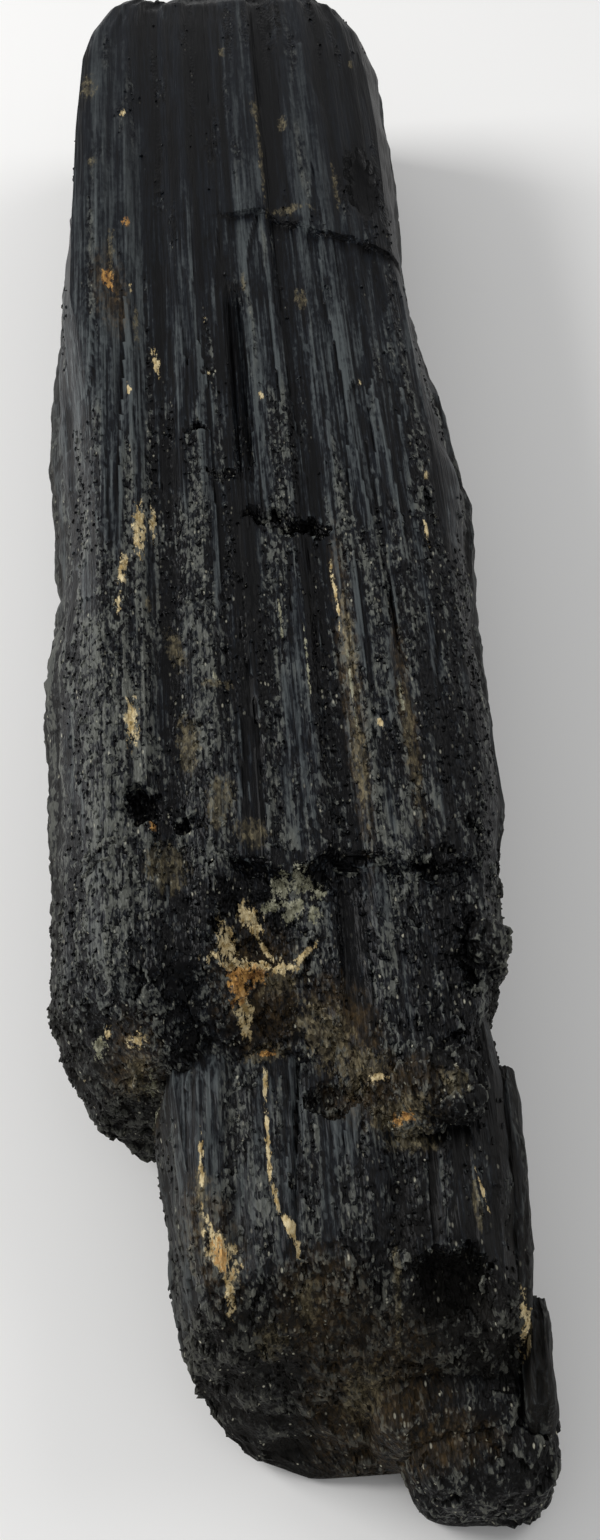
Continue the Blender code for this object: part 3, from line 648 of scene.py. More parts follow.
def grain_tree() -> bpy.types.NodeTree:
    """Make the tree that scatters small angular grains over a skin's rough parts.

    Returns:
        The tree.
    """
    tree = new_tree("loose_grains", GRAIN_INPUTS)
    add = partial(add_node, tree)
    given = add("NodeGroupInput").outputs
    amount = given["Density"]
    for name in ("rough_part", "crisp", "grainy"):
        share = add(NAMED, {"Name": name})
        amount = add(MULTIPLY, amount, share)
    per_metre = add(DIVIDE, amount, MM * MM)
    points = add("GeometryNodeDistributePointsOnFaces",
                 {"Mesh": given["Geometry"], "Density": per_metre, "Seed": given["Seed"]})
    grain = add("GeometryNodeMeshIcoSphere", {"Radius": 1.0, "Subdivisions": 1})
    turned, shape = (
        add(RANDOM, {"Min": low, "Max": high, "Seed": seed}, data_type="FLOAT_VECTOR")
        for low, high, seed in (((-1.5, -0.4, -0.5), (1.5, 0.4, 0.5), 1),
                                ((0.25, 0.4, 0.25), (0.7, 1.3, 0.6), 2)))
    metres = add(MULTIPLY, given["Grain Size"], MM)
    size = add(V_SCALE, {0: shape, "Scale": metres})
    placed = add("GeometryNodeInstanceOnPoints",
                 {"Points": points, "Instance": grain, "Rotation": turned, "Scale": size})
    tone = add(RANDOM, {2: -0.4, 3: 0.9, "Seed": 3}, data_type="FLOAT")
    toned = add(STORED, {"Geometry": placed, "Name": "chip_tone", "Value": tone.outputs[1]},
                domain="INSTANCE")
    end_tree(add, toned, given["Material"])
    return tree


def run_tree(piece: bpy.types.Object, tree: bpy.types.NodeTree, values: dict) -> None:
    """Run a Geometry Nodes tree on a piece and keep the result as its plain mesh.

    Args:
        piece: the object, already linked to the scene.
        tree: the tree to run.
        values: the tree's inputs by name. The others keep their defaults.
    """
    modifier = piece.modifiers.new(tree.name, "NODES")
    modifier.node_group = tree
    for item in tree.interface.items_tree:
        if item.in_out == "INPUT" and item.name in values:
            modifier[item.identifier] = values[item.name]
    graph = bpy.context.evaluated_depsgraph_get()
    made = bpy.data.meshes.new_from_object(piece.evaluated_get(graph))
    piece.modifiers.remove(modifier)
    piece.data = made


# ---- finishes ----

@dataclass(frozen=True)
class StainFinish:
    """How one kind of stain looks."""

    kind: Stain
    light: str
    dark: str
    share: float         # how much of the mineral it hides
    grit: float          # how much single grains of the mineral stand out of it
    level: float = 2.87  # how strong a mark has to be before it shows
    soft: float = 0.25   # width of its edge, on the same scale


STAIN_FINISHES = (
    StainFinish(Stain.FILM, "6b5533", "2f2717", 0.44, 0.8, 2.8, 1.2),
    StainFinish(Stain.OLIVE, "877d62", "463f2e", 0.7, 0.85, 2.8, 0.5),
    StainFinish(Stain.CRUST, "a09e89", "676651", 0.95, 0.15, 2.87, 0.12),
    StainFinish(Stain.CREAM, "e4d3a8", "a88e5a", 0.95, 0.22),
    StainFinish(Stain.OCHRE, "d4a25c", "80562e", 0.9, 0.32),
)


@dataclass(frozen=True)
class Pattern:
    """A noise pattern whose cells have a real width and length, in millimetres."""

    width: float
    length: float
    detail: float
    roughness: float

    def scale(self) -> Triple:
        """How many cells there are to a metre, across, along and across the grain."""
        return (1.0 / self.width / MM, 1.0 / self.length / MM, 1.0 / self.width / MM)


# What gives the mineral its fine structure. Each is drawn coarser than the real one, which
# goes down to a few hundredths of a millimetre, so that it shows.
PATTERNS = {
    "lines": Pattern(0.4, 14.0, 4.0, 0.6),     # rubbed lines along the grain
    "clump": Pattern(0.5, 1.8, 4.0, 0.75),     # clumps of crushed splinters
    "edge": Pattern(0.6, 1.5, 5.0, 0.72),      # bays in the ragged edge of a stain
    "striae": Pattern(0.34, 9.0, 2.0, 0.5),    # the finest striae, as bump alone
}
GRIT = Pattern(0.36, 0.85, 0.0, 0.0)           # crushed grit, as single cells
CLOUD = 9.0                                    # width of clouds of rubbing, in millimetres
# What each vertex carries for the finish, beside the stains
MEASURES = ("proud", "rough_part", "column_tone", "chip_tone", "inside", "dusty", "tone",
            "crisp")
# What makes the mineral lighter or darker: a measure or pattern, its middle, its weight,
# and where it counts
LIGHTENED = (
    # proud: painted shade in creases and painted highlight on ridges; tone: painted light and shade of the
    # columns and the ends
    ("proud", 0.0, 3.0, "crisp"), ("tone", 0.0, 1.3, "all"),
    ("column_tone", 0.0, 0.24, "all"), ("chip_tone", 0.0, 0.5, "rough_part"),
    ("lines", 0.5, 2.7, "crisp"), ("cloud", 0.5, 0.45, "all"),
    ("grit", 0.5, 1.0, "gritty"), ("clump", 0.5, 2.6, "gritty"),
    ("crisp", 0.0, 0.07, "all"), ("rough_part", 0.0, -0.05, "all"),
    # inside: painted shade in the hollows; fresh marks: fresh black mineral and painted shadow
    ("inside", 0.0, -0.35, "all"), ("fresh", 0.0, -0.34, "all"),
)


@dataclass(frozen=True)
class SchorlFinish:
    """Black tourmaline, raw: broken and cleft by nature, never cut or polished.

    To the eye it is bluish black with a satin gloss that runs in fine lines along the
    grain. Rubbed edges and crushed grains turn grey, crevices stay black, and clay, mica
    and iron ochre sit in places as cream, olive and orange stains. Painted shade further
    darkens creases, hollows and faces turned from the light, and painted highlight lightens
    ridges and lit columns.
    """

    name: str = "raw_schorl"
    deep: str = "020203"       # fresh black mineral
    slate: str = "0d1117"      # satin faces, lightly rubbed
    rubbed: str = "464b4c"     # crushed mineral on smooth columns
    crushed: str = "5c5d56"    # crushed mineral in the gritty ones, warmer
    dust: str = "211f1b"       # brown dust on sheltered faces
    speck: str = "bcb9a6"      # freshly crushed specks
    ior: float = 1.64          # tourmaline
    roughness: float = 0.44    # satin
    powder_roughness: float = 0.9
    shine: float = 0.09        # hairline cracks and dust take most of the gloss
    bump: float = 0.2          # depth of the finest striae and grit, in millimetres
    level: float = 0.325       # how light the mineral is, on the scale of these three:
    shades: Triple = (0.2, 0.5, 1.0)      # deep, slate and rubbed or crushed
    grit_share: Span = (0.75, 0.25)       # how gritty rough parts are, and all the others
    fresh_and_shade_grit: float = -0.6              # how much less gritty fresh mineral and painted shadow are
    speck_rare: Span = (0.9, 0.96)        # which grains shine,
    speck_core: Span = (0.42, 0.2)        # and how far from their middle
    mottle: Span = (0.38, 0.6)            # from a stain's dark shade to its light one
    bays: float = 4.5                     # how ragged a stain's edge is
    mark_shows: Span = (0.02, 0.3)
    gloss_lines: float = 0.24             # how much roughness changes from line to line
    dust_roughness: float = 0.2

    def material(self) -> bpy.types.Material:
        """Build the material.

        Returns:
            The finished material.
        """
        material = bpy.data.materials.new(self.name)
        material.use_nodes = True
        tree = material.node_tree
        shader = tree.nodes["Principled BSDF"].inputs
        shader["IOR"].default_value = self.ior
        shader["Metallic"].default_value = 0.0
        shader["Specular IOR Level"].default_value = self.shine
        add = partial(add_node, tree)
        metres = add("ShaderNodeTexCoord").outputs["Object"]
        parts = {name: add("ShaderNodeAttribute", attribute_name=name).outputs["Fac"]
                 for name in MEASURES + tuple(kind.value for kind in Stain)}
        for name, pattern in PATTERNS.items():
            place = add(PLACING, {"Vector": metres, "Scale": pattern.scale()})
            parts[name] = add(NOISE, {"Vector": place, "Scale": 1.0, "Detail": pattern.detail,
                                      "Roughness": pattern.roughness})
        parts["cloud"] = add(NOISE, {"Vector": metres, "Scale": 1.0 / CLOUD / MM,
                                     "Detail": 5.0, "Roughness": 0.6})
        place = add(PLACING, {"Vector": metres, "Scale": GRIT.scale()})
        grit = add(CELLS, {"Vector": place, "Scale": 1.0}).outputs
        chosen = add(SPLIT_COLOUR, grit["Color"])
        parts["grit"], parts["rare"], parts["bright"] = chosen.outputs[:3]
        parts["from_middle"] = grit["Distance"]
        colour, powder = self._stains(add, parts, self._mineral(add, parts))
        tree.links.new(colour, shader["Base Color"])
        for name, node in self._gloss(add, parts, powder).items():
            tree.links.new(node.outputs[0], shader[name])
        return material

    def _mineral(self, add: Adder, parts: dict) -> bpy.types.NodeSocket:
        """Colour the bare mineral from its facets and specks, and paint light and shade from its relief.

        Args:
            add: adds a node to the material.
            parts: the measures and patterns by name.

        Returns:
            The colour.
        """
        rough_share = add(MULTIPLY_ADD, parts["rough_part"], *self.grit_share)
        # Grit shows less where the fresh marks lie, on fresh mineral and painted shadow alike
        sheltered = add(MULTIPLY_ADD, parts["fresh"], self.fresh_and_shade_grit, parts["crisp"])
        gritty = add(MULTIPLY, rough_share, sheltered, use_clamp=True)
        shares = {**parts, "gritty": gritty, "all": 1.0}
        level = self.level
        for name, middle, weight, where in LIGHTENED:
            centred = add(SUBTRACT, parts[name], middle)
            scaled = add(MULTIPLY, centred, shares[where])
            level = add(MULTIPLY_ADD, scaled, weight, level)
        tints = []
        for tint in (self.rubbed, self.crushed):
            shades = add("ShaderNodeValToRGB", level)
            stops = shades.color_ramp.elements
            stops.new(self.shades[1])
            for stop, place, colour in zip(stops, self.shades, (self.deep, self.slate, tint)):
                stop.position, stop.color = place, srgb(colour)
            tints.append(shades)
        mixed = add(COLOUR_MIX, {"Factor": parts["rough_part"], 6: tints[0], 7: tints[1]})
        dusting = add(MULTIPLY, parts["dusty"], parts["clump"])
        dulled = add(COLOUR_MIX, {"Factor": dusting, 6: mixed.outputs[2], 7: srgb(self.dust)})
        strength = add(RANGE, parts["rare"], *self.speck_rare)
        core = add(RANGE, parts["from_middle"], *self.speck_core)
        for share in (core, parts["crisp"], parts["bright"], parts["rough_part"]):
            strength = add(MULTIPLY, strength, share)
        specks = {"Factor": strength, 6: dulled.outputs[2], 7: srgb(self.speck)}
        return add(COLOUR_MIX, specks).outputs[2]

    def _stains(self, add: Adder, parts: dict, colour: bpy.types.NodeSocket) -> tuple:
        """Lay the stains over the mineral, with ragged edges.

        Args:
            add: adds a node to the material.
            parts: the measures and patterns by name.
            colour: the bare mineral's colour.

        Returns:
            The stained colour, and how much powder hides the mineral.
        """
        colours = add(SPLIT_COLOUR, parts["edge"].outputs["Color"]).outputs
        mottle = add(RANGE, colours[1], *self.mottle)
        powder = 0.0
        for stain in STAIN_FINISHES:
            mark = parts[stain.kind.value]
            strength = add(MULTIPLY_ADD, parts["edge"], self.bays, mark)
            low, high = stain.level - stain.soft / 2.0, stain.level + stain.soft / 2.0
            cover = add(RANGE, strength, low, high, 0.0, stain.share)
            there = add(RANGE, mark, *self.mark_shows)
            held = add(MULTIPLY_ADD, parts["grit"], stain.grit, 1.0 - stain.grit)
            laid = add(MULTIPLY, cover, there)
            factor = add(MULTIPLY, laid, held)
            shades = {"Factor": mottle, 6: srgb(stain.dark), 7: srgb(stain.light)}
            paint = add(COLOUR_MIX, shades).outputs[2]
            colour = add(COLOUR_MIX, {"Factor": factor, 6: colour, 7: paint}).outputs[2]
            powder = add(MAXIMUM, powder, factor)
        return colour, powder

    def _gloss(self, add: Adder, parts: dict, powder: bpy.types.Node) -> dict:
        """Give the mineral a satin gloss, powder none, and bump finer than the relief.

        Args:
            add: adds a node to the material.
            parts: the measures and patterns by name.
            powder: how much powder hides the mineral.

        Returns:
            The nodes for the shader's Normal and Roughness.
        """
        relief = add(FLOAT_MIX, {"Factor": parts["rough_part"], 2: parts["striae"],
                                 3: parts["from_middle"]})
        bump = add("ShaderNodeBump", {"Distance": self.bump * MM, "Height": relief})
        least = self.roughness - self.gloss_lines / 2.0
        wobble = add(MULTIPLY_ADD, parts["striae"], self.gloss_lines, least)
        dull = add(MULTIPLY_ADD, parts["dusty"], self.dust_roughness, wobble)
        matt = add(FLOAT_MIX, {"Factor": powder, 2: dull, 3: self.powder_roughness})
        return {"Normal": bump, "Roughness": matt}


# ---- forms ----

class Skin:
    """A closed grid of rings round one crystal, with named numbers at each vertex."""

    def __init__(self, x: Field, y: Field, z: Field) -> None:
        """Keep the grid, one row for each ring, in millimetres."""
        self.x, self.y, self.z = x, y, z
        self.fields: dict[str, Field] = {}

    def close_ends(self, bulge: float) -> None:
        """Add rings that shrink towards the middle of each end.

        Args:
            bulge: how far the middle of an end stands out.
        """
        for end, outward in ((0, 1.0), (-1, -1.0)):
            ring = [part[end] for part in (self.x, self.y, self.z)]
            centre = [part.mean() for part in ring]
            rows = []
            for share in np.cos(np.linspace(0.0, 1.0, TIP_RINGS + 1)[1:] * TIP_TURN):
                row = [c + (r - c) * share for c, r in zip(centre, ring)]
                row[1] = row[1] + outward * bulge * math.sqrt(1.0 - share * share)
                rows.append(row)
            tips = np.array(rows[::-1] if end == 0 else rows).transpose(1, 0, 2)
            order = (0, 1) if end == 0 else (1, 0)
            self.x, self.y, self.z = (
                np.concatenate([(tip, part)[k] for k in order])
                for tip, part in zip(tips, (self.x, self.y, self.z))
            )

    def to_object(self, name: str) -> bpy.types.Object:
        """Make the grid a closed mesh object, in place, with its fields as attributes.

        Args:
            name: the object's name.

        Returns:
            The object.
        """
        rows, columns = self.x.shape
        number = np.arange(rows * columns).reshape(rows, columns)
        turned = np.roll(number, -1, axis=1)
        corners = (number[:-1], turned[:-1], turned[1:], number[1:])
        quads = np.stack([part.ravel() for part in corners], axis=1).tolist()
        ends = [number[0][::-1].tolist(), number[-1].tolist()]
        points = np.stack((self.x, self.y, self.z), axis=-1).reshape(-1, 3)
        return make_object(name, points, quads + ends, self.fields)


def link(name: str, data: bpy.types.ID) -> bpy.types.Object:
    """Make an object of a mesh, light or camera and link it to the scene.

    Args:
        name: the object's name.
        data: what it shows.

    Returns:
        The object.
    """
    made = bpy.data.objects.new(name, data)
    bpy.context.scene.collection.objects.link(made)
    return made


def make_object(name: str, points: Field, faces: list,
                fields: dict[str, Field]) -> bpy.types.Object:
    """Make a linked mesh object from points in millimetres.

    Args:
        name: the object's name.
        points: one row for each vertex.
        faces: vertex numbers of each face.
        fields: numbers at each vertex, by name.

    Returns:
        The object, with its normals turned outwards.
    """
    mesh = bpy.data.meshes.new(name)
    mesh.from_pydata(((points + np.array(BOX_SHIFT)) * MM).tolist(), [], faces)
    for label, values in fields.items():
        layer = mesh.attributes.new(label, "FLOAT", "POINT")
        layer.data.foreach_set("value", np.asarray(values, dtype=np.float32).ravel())
    shaper = bmesh.new()
    shaper.from_mesh(mesh)
    bmesh.ops.recalc_face_normals(shaper, faces=shaper.faces)
    shaper.to_mesh(mesh)
    shaper.free()
    return link(name, mesh)


def mark_fields(x: Field, y: Field, z: Field, foot: float) -> dict[str, Field]:
    """How strongly each kind of mark covers each place, from 0 to 1.

    Args:
        x, y, z: the places.
        foot: marks fade out below this height.

    Returns:
        One field for each kind of mark, by its attribute's name.
    """
    fields = {}
    above = ease((z - foot) / FADE + 1.0)
    for kind, marks in MARKS.items():
        cover = np.zeros_like(x)
        for middle_x, middle_y, half_x, half_y, *lean in marks:
            down = y - middle_y
            across = x - middle_x - sum(lean) * down
            reach = np.sqrt((across / half_x) ** 2 + (down / half_y) ** 2)
            cover = np.maximum(cover, np.clip(MARK_REACH - reach, 0.0, 1.0))
        fields[kind.value] = cover * above
    return fields


@dataclass(frozen=True)
class Trees:
    """The Geometry Nodes trees that every crystal shares."""

    skin: bpy.types.NodeTree
    grains: bpy.types.NodeTree


@dataclass
class Crystal:
    """A striated crystal: rings of ribs between two grooved sides, on a flat foot."""

    name: str
    outline: Table
    ribs: Table
    rings: Field
    rib_step: float = 0.27
    side_points: int = 46
    foot_points: int = 18
    bulge: float = 0.3
    relief: dict[str, float] = field(default_factory=dict)   # the skin tree's inputs, where unusual
    # painted light and shade of the columns across the crystal: x, change of tone
    tones: Table = ((0.0, 0.0), (1.0, 0.0))
    free_height: float = FREE_HEIGHT
    grain_density: float = 0.0
    grain_foot: float = 8.0     # no grains lie below this height
    mark_foot: float = 0.0      # and no marks below this one

    def top(self, x: Field, y: Field, height: Field, rib: Field) -> tuple[Field, Field]:
        """Height of the upper face and how broken it is, which here is nowhere."""
        return height + along(self.ribs, rib), np.zeros_like(x)

    def bend(self, x: Field, y: Field) -> Field:
        """Move ring points along Y."""
        return y + 0.0 * x

    def drift(self, y: Field) -> Field:
        """How far the grain leans in X at a place along Y."""
        return 0.0 * y

    def wear(self, x: Field, y: Field) -> Field:
        """Where crumbs have broken out of the striae, from 0 to 1."""
        return USUAL_WEAR + 0.0 * x

    def rib_place(self, nominal: Field, left_edge: Field, right_edge: Field) -> Field:
        """Where a rib lies in X. Only those near an edge move with it, and where the
        crystal is narrow all of them draw together.

        Args:
            nominal: the ribs' places where the crystal has its full width.
            left_edge, right_edge: the upper face's edges at each ring.

        Returns:
            The ribs' places at each ring.
        """
        first, last = self.ribs[0][0], self.ribs[-1][0]
        width = last - first
        share = (right_edge - left_edge) / width
        together = left_edge + (nominal - first) * share
        left = np.maximum(0.0, 1.0 - (nominal - first) / EDGE_REACH)
        right = np.maximum(0.0, 1.0 - (last - nominal) / EDGE_REACH)
        apart = nominal + (left_edge - first) * left + (right_edge - last) * right
        narrow = 1.0 if width < EDGE_REACH else ease((NARROW - share) / NARROWING)
        return apart + (together - apart) * narrow

    def side(self, edge: Field, belly: Field, height: Field, profile: Table,
             rib: float) -> tuple:
        """Lay one side's points, from the foot up.

        Args:
            edge, belly: where the upper edge and the belly are, at each ring.
            height: height of the upper face at each ring.
            profile: the side's shape.
            rib: the rib that lies on the upper edge.

        Returns:
            x, y, z and brokenness of the points.
        """
        shape = np.array(profile)
        gaps = np.hypot(*(np.diff(shape, axis=0) * np.array(SIDE_SPACING)).T)
        length = np.concatenate(([0.0], np.cumsum(gaps)))
        at = np.linspace(0.0, length[-1], self.side_points)
        reach, level = (np.interp(at, length, shape[:, k]) for k in (0, 1))
        places = self.rings[:, None]
        x = edge + (belly - edge) * reach
        edge_height, broken = self.top(edge, self.bend(edge, places), height,
                                       rib + self.drift(places))
        return x, self.bend(x, places), edge_height * level, broken + 0.0 * x

    def skin(self) -> Skin:
        """Lay the rings and work out the numbers at each vertex.

        Returns:
            The closed skin with its fields.
        """
        places = self.rings[:, None]
        left_belly, left_edge, right_edge, right_belly, height = (
            along(self.outline, places, column) for column in (1, 2, 3, 4, 5))
        left = self.side(left_edge, left_belly, height, LEFT_SIDE, self.ribs[0][0])
        nominal = steps(self.ribs[0][0], self.ribs[-1][0], self.rib_step)[None, :]
        x = self.rib_place(nominal, left_edge, right_edge)
        y = self.bend(x, places)
        z, broken = self.top(x, y, height + 0.0 * x, nominal + self.drift(places))
        right = [part[:, ::-1] for part in self.side(right_edge, right_belly, height,
                                                     RIGHT_SIDE, self.ribs[-1][0])]
        share = np.linspace(0.0, 1.0, self.foot_points + 2)[None, 1:-1]
        foot = [end[:, -1:] + (start[:, :1] - end[:, -1:]) * share
                for end, start in zip(right, left)]
        x, y, z, broken = (np.concatenate(parts, axis=1)
                           for parts in zip(left, (x, y, z, broken), right, foot))
        z, inside = carve(x, y, z)
        stack = Skin(x, y, np.maximum(z, 0.0))
        stack.close_ends(self.bulge)
        crumbly = np.where(stack.y[TIP_RINGS:-TIP_RINGS] < CRUMBLY_BEFORE, inside, 0.0)
        ends = ((TIP_RINGS, TIP_RINGS), (0, 0))
        x, y, z = stack.x, stack.y, stack.z
        lean = self.drift(y)
        stack.fields = {
            "broken": np.pad(np.maximum(broken, crumbly), ends, constant_values=1.0),
            "inside": np.pad(inside, ends),
            "free": ease(z / self.free_height),
            "lean": lean,
            "dusty": ramp(z, DUSTY),
            "wear": self.wear(x, y),
            "side": ease((SIDE_SWELL - z) / FADE),
            "grainy": ease((z - self.grain_foot) / FADE),
            "crisp": 1.0 - SATIN * ramp(y, SATIN_ALONG) * ramp(z, SATIN_UP),
            # painted light and shade: columns lit or shaded by their tilt, and darker ends
            "tone": along(self.tones, x + lean) + along(SHADE_AND_TONE_ALONG, y),
            **mark_fields(x, y, z, self.mark_foot),
        }
        return stack

    def build(self, trees: Trees, material: bpy.types.Material) -> list:
        """Make the crystal's finished pieces.

        Args:
            trees: the Geometry Nodes trees.
            material: the finish.

        Returns:
            Its skin, and its loose grains where it has them.
        """
        skin = self.skin().to_object(self.name)
        run_tree(skin, trees.skin, {**self.relief, "Material": material})
        pieces = [skin]
        if self.grain_density > 0.0:
            grains = link(self.name + "_grains", skin.data)
            run_tree(grains, trees.grains,
                     {"Density": self.grain_density, "Material": material})
            pieces.append(grains)
        return [finish_piece(piece) for piece in pieces]


@dataclass
class ThickCrystal(Crystal):
    """The long crystal, with its two ledges and its broken near end."""

    tip_break: Span = (117.0, 120.0)     # where the far tip turns rough, along Y
    left_break: Span = (-56.0, -66.0)    # where the columns left of left_of do
    left_of: float = -8.0
    left_rough: float = 0.55             # how rough those get
    rest_rough: float = 0.7              # and the rest, past the near ledge
    rest_over: float = 2.0               # over this distance
    slab_x: float = 8.0                  # middle of a smoother slab among the rest
    slab_edge: float = 4.0               # width over which it ends at each side
    slab_reach: float = 1.6              # and its half width, in those
    slab_end: Span = (-79.0, -76.0)      # where it starts, along Y
    slab_smooth: float = 0.5
    pair: Span = (-2.5, 0.1)             # the ribs with the pair of deep grooves
    pair_least: float = 0.25             # depth of these away from their own stretch
    pair_starts: Span = (-4.0, 4.0)
    pair_ends: Span = (42.0, 34.0)
    rib_loss: float = 0.7                # how much of its ribs a rough face loses
    worn: Span = (30.0, -30.0)           # where wear grows, along Y
    worn_left: Span = (-4.0, -10.0)      # it is stronger on the left columns
    worn_right: Span = (8.0, 16.0)       # and at the right edge
    worn_shares: Triple = (0.65, 0.4, 0.25)   # everywhere, and what those two add

    def top(self, x: Field, y: Field, height: Field, rib: Field) -> tuple[Field, Field]:
        """Lower the upper face past the ledges and the brow.

        Args:
            x, y: the places.
            height: height of the face without its ribs.
            rib: where in the table of ribs each place is.

        Returns:
            The heights, and how broken the face is, from 0 to 1.
        """
        for ledge in LEDGES:
            height = height - ledge_drop(ledge, x, y)
        fall = along(BROW_FALL, along(LOG_BROW, x) - y)
        slab = ease(self.slab_reach - np.abs(x - self.slab_x) / self.slab_edge)
        slab = slab * ramp(y, self.slab_end)
        rest = ease((along(NEAR_LEDGE[0], x) - y) / self.rest_over)
        rest = (self.rest_rough - self.slab_smooth * slab) * rest
        near = np.where(x > self.left_of, rest, self.left_rough * ramp(y, self.left_break))
        broken = np.where(y > FAR_PART, ramp(y, self.tip_break), near)
        depth = (1.0 - self.pair_least) * ramp(y, self.pair_starts) * ramp(y, self.pair_ends)
        paired = (rib > self.pair[0]) & (rib < self.pair[1])
        proud = along(self.ribs, rib) * np.where(paired, self.pair_least + depth, 1.0)
        return height - fall + proud * (1.0 - self.rib_loss * broken), broken

    def bend(self, x: Field, y: Field) -> Field:
        """Make rings follow the ledges and the near break.

        Args:
            x, y: the places.

        Returns:
            The places along Y, moved.
        """
        for line, _drop, _first, _last in LEDGES:
            weight = ramp(np.abs(y - mean_y(line)), (LEDGE_REACH, LEDGE_HOLD))
            y = y + weight * (along(line, x) - mean_y(line))
        weight = ramp(y, (LOG_NEAR_END + BREAK_BEND, LOG_NEAR_END))
        return y + weight * (along(LOG_BREAK, x) - LOG_NEAR_END)

    def wear(self, x: Field, y: Field) -> Field:
        """Wear the near half the most, on its left columns and its right edge.

        Args:
            x, y: the places.

        Returns:
            How worn each is, from 0 to 1.
        """
        least, left, right = self.worn_shares
        across = least + left * ramp(x, self.worn_left) + right * ramp(x, self.worn_right)
        return ramp(y, self.worn) * across


@dataclass
class LowerCrystal(Crystal):
    """The crystal that grows out of the near end, and its broken face."""

    break_over: float = 2.0     # distance over which the face turns rough
    least_height: float = 0.8   # the broken face ends this high above the floor

    def top(self, x: Field, y: Field, height: Field, rib: Field) -> tuple[Field, Field]:
        """Let the upper face fall to the foot at its broken end.

        Args:
            x, y: the places.
            height: height of the face without its ribs.
            rib: where in the table of ribs each place is.

        Returns:
            The heights, and how broken the face is, from 0 to 1.
        """
        edge = along(NEAR_BREAK, x)
        part = (edge - y) / (edge - along(NEAR_FOOT, x))
        broken = ease((edge - y) / self.break_over)
        proud = along(self.ribs, rib) * (1.0 - broken)
        top = height + proud - height * along(BREAK_FALL, part)
        return np.maximum(top, self.least_height), broken

    def drift(self, y: Field) -> Field:
        """The grain leans to the right towards the near end."""
        return GRAIN_YAW * (DRIFT_FROM - y)


@dataclass
class Lump:
    """A rough lump of broken grains, between a ball and a box in shape."""

    name: str
    middle: Triple
    half: Triple
    boxiness: float
    detail: int
    relief: dict[str, float] = field(default_factory=dict)   # the skin tree's inputs, where unusual
    # how much lighter or darker the lump is painted; the near end's lumps are darker as painted shade
    tone: float = 0.0

    def build(self, trees: Trees, material: bpy.types.Material) -> list:
        """Make the lump's finished piece.

        Args:
            trees: the Geometry Nodes trees.
            material: the finish.

        Returns:
            The piece, alone in a list.
        """
        shaper = bmesh.new()
        bmesh.ops.create_icosphere(shaper, subdivisions=self.detail, radius=1.0)
        way = np.array([vertex.co[:] for vertex in shaper.verts])
        faces = [[vertex.index for vertex in face.verts] for face in shaper.faces]
        shaper.free()
        way /= np.linalg.norm(way, axis=1, keepdims=True)
        power = (np.abs(way) ** self.boxiness).sum(1, keepdims=True) ** (1 / self.boxiness)
        points = np.array(self.middle) + way / power * np.array(self.half)
        points[:, 2] = np.maximum(points[:, 2], 0.0)
        x, y, z = points.T
        levels = {"broken": 1.0, "inside": 0.0, "lean": 0.0, "dusty": LUMP_DUST, "wear": 0.0,
                  "tone": self.tone, "side": 1.0, "crisp": 1.0}
        fields = {name: np.full_like(x, value) for name, value in levels.items()}
        fields |= {"free": ease(z / FREE_HEIGHT), **mark_fields(x, y, z, 0.0)}
        piece = make_object(self.name, points, faces, fields)
        run_tree(piece, trees.skin, {**self.relief, "Material": material})
        return [finish_piece(piece)]


def finish_piece(piece: bpy.types.Object) -> bpy.types.Object:
    """Keep a piece above the floor, shade it by its edges and tie it to the specimen.

    Args:
        piece: the piece, with its final mesh.

    Returns:
        The same piece.
    """
    mesh = piece.data
    places = np.empty(len(mesh.vertices) * 3, dtype=np.float32)
    mesh.vertices.foreach_get("co", places)
    places[2::3] = np.maximum(places[2::3], 0.0)
    mesh.vertices.foreach_set("co", places)
    mesh.shade_smooth()
    mesh.set_sharp_from_angle(angle=math.radians(SHARP_EDGE))
    mesh.update()
    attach(piece, BODY)
    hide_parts(NODE)
    return piece


# ---- the specimen ----

def log_rings() -> Field:
    """Place the thick crystal's rings, close together at ledges and breaks.

    Returns:
        Their places along Y, from the far end.
    """
    parts = [steps(122.4, 117.0, 0.4), steps(117.0, 40.0, 1.0), steps(40.0, -56.0, 0.62),
             steps(-56.0, LOG_NEAR_END, 0.28)]
    parts += [mean_y(line) + steps(0.5, -0.5, 0.25) for line, *_rest in LEDGES]
    return np.unique(np.round(np.concatenate(parts), 3))[::-1]


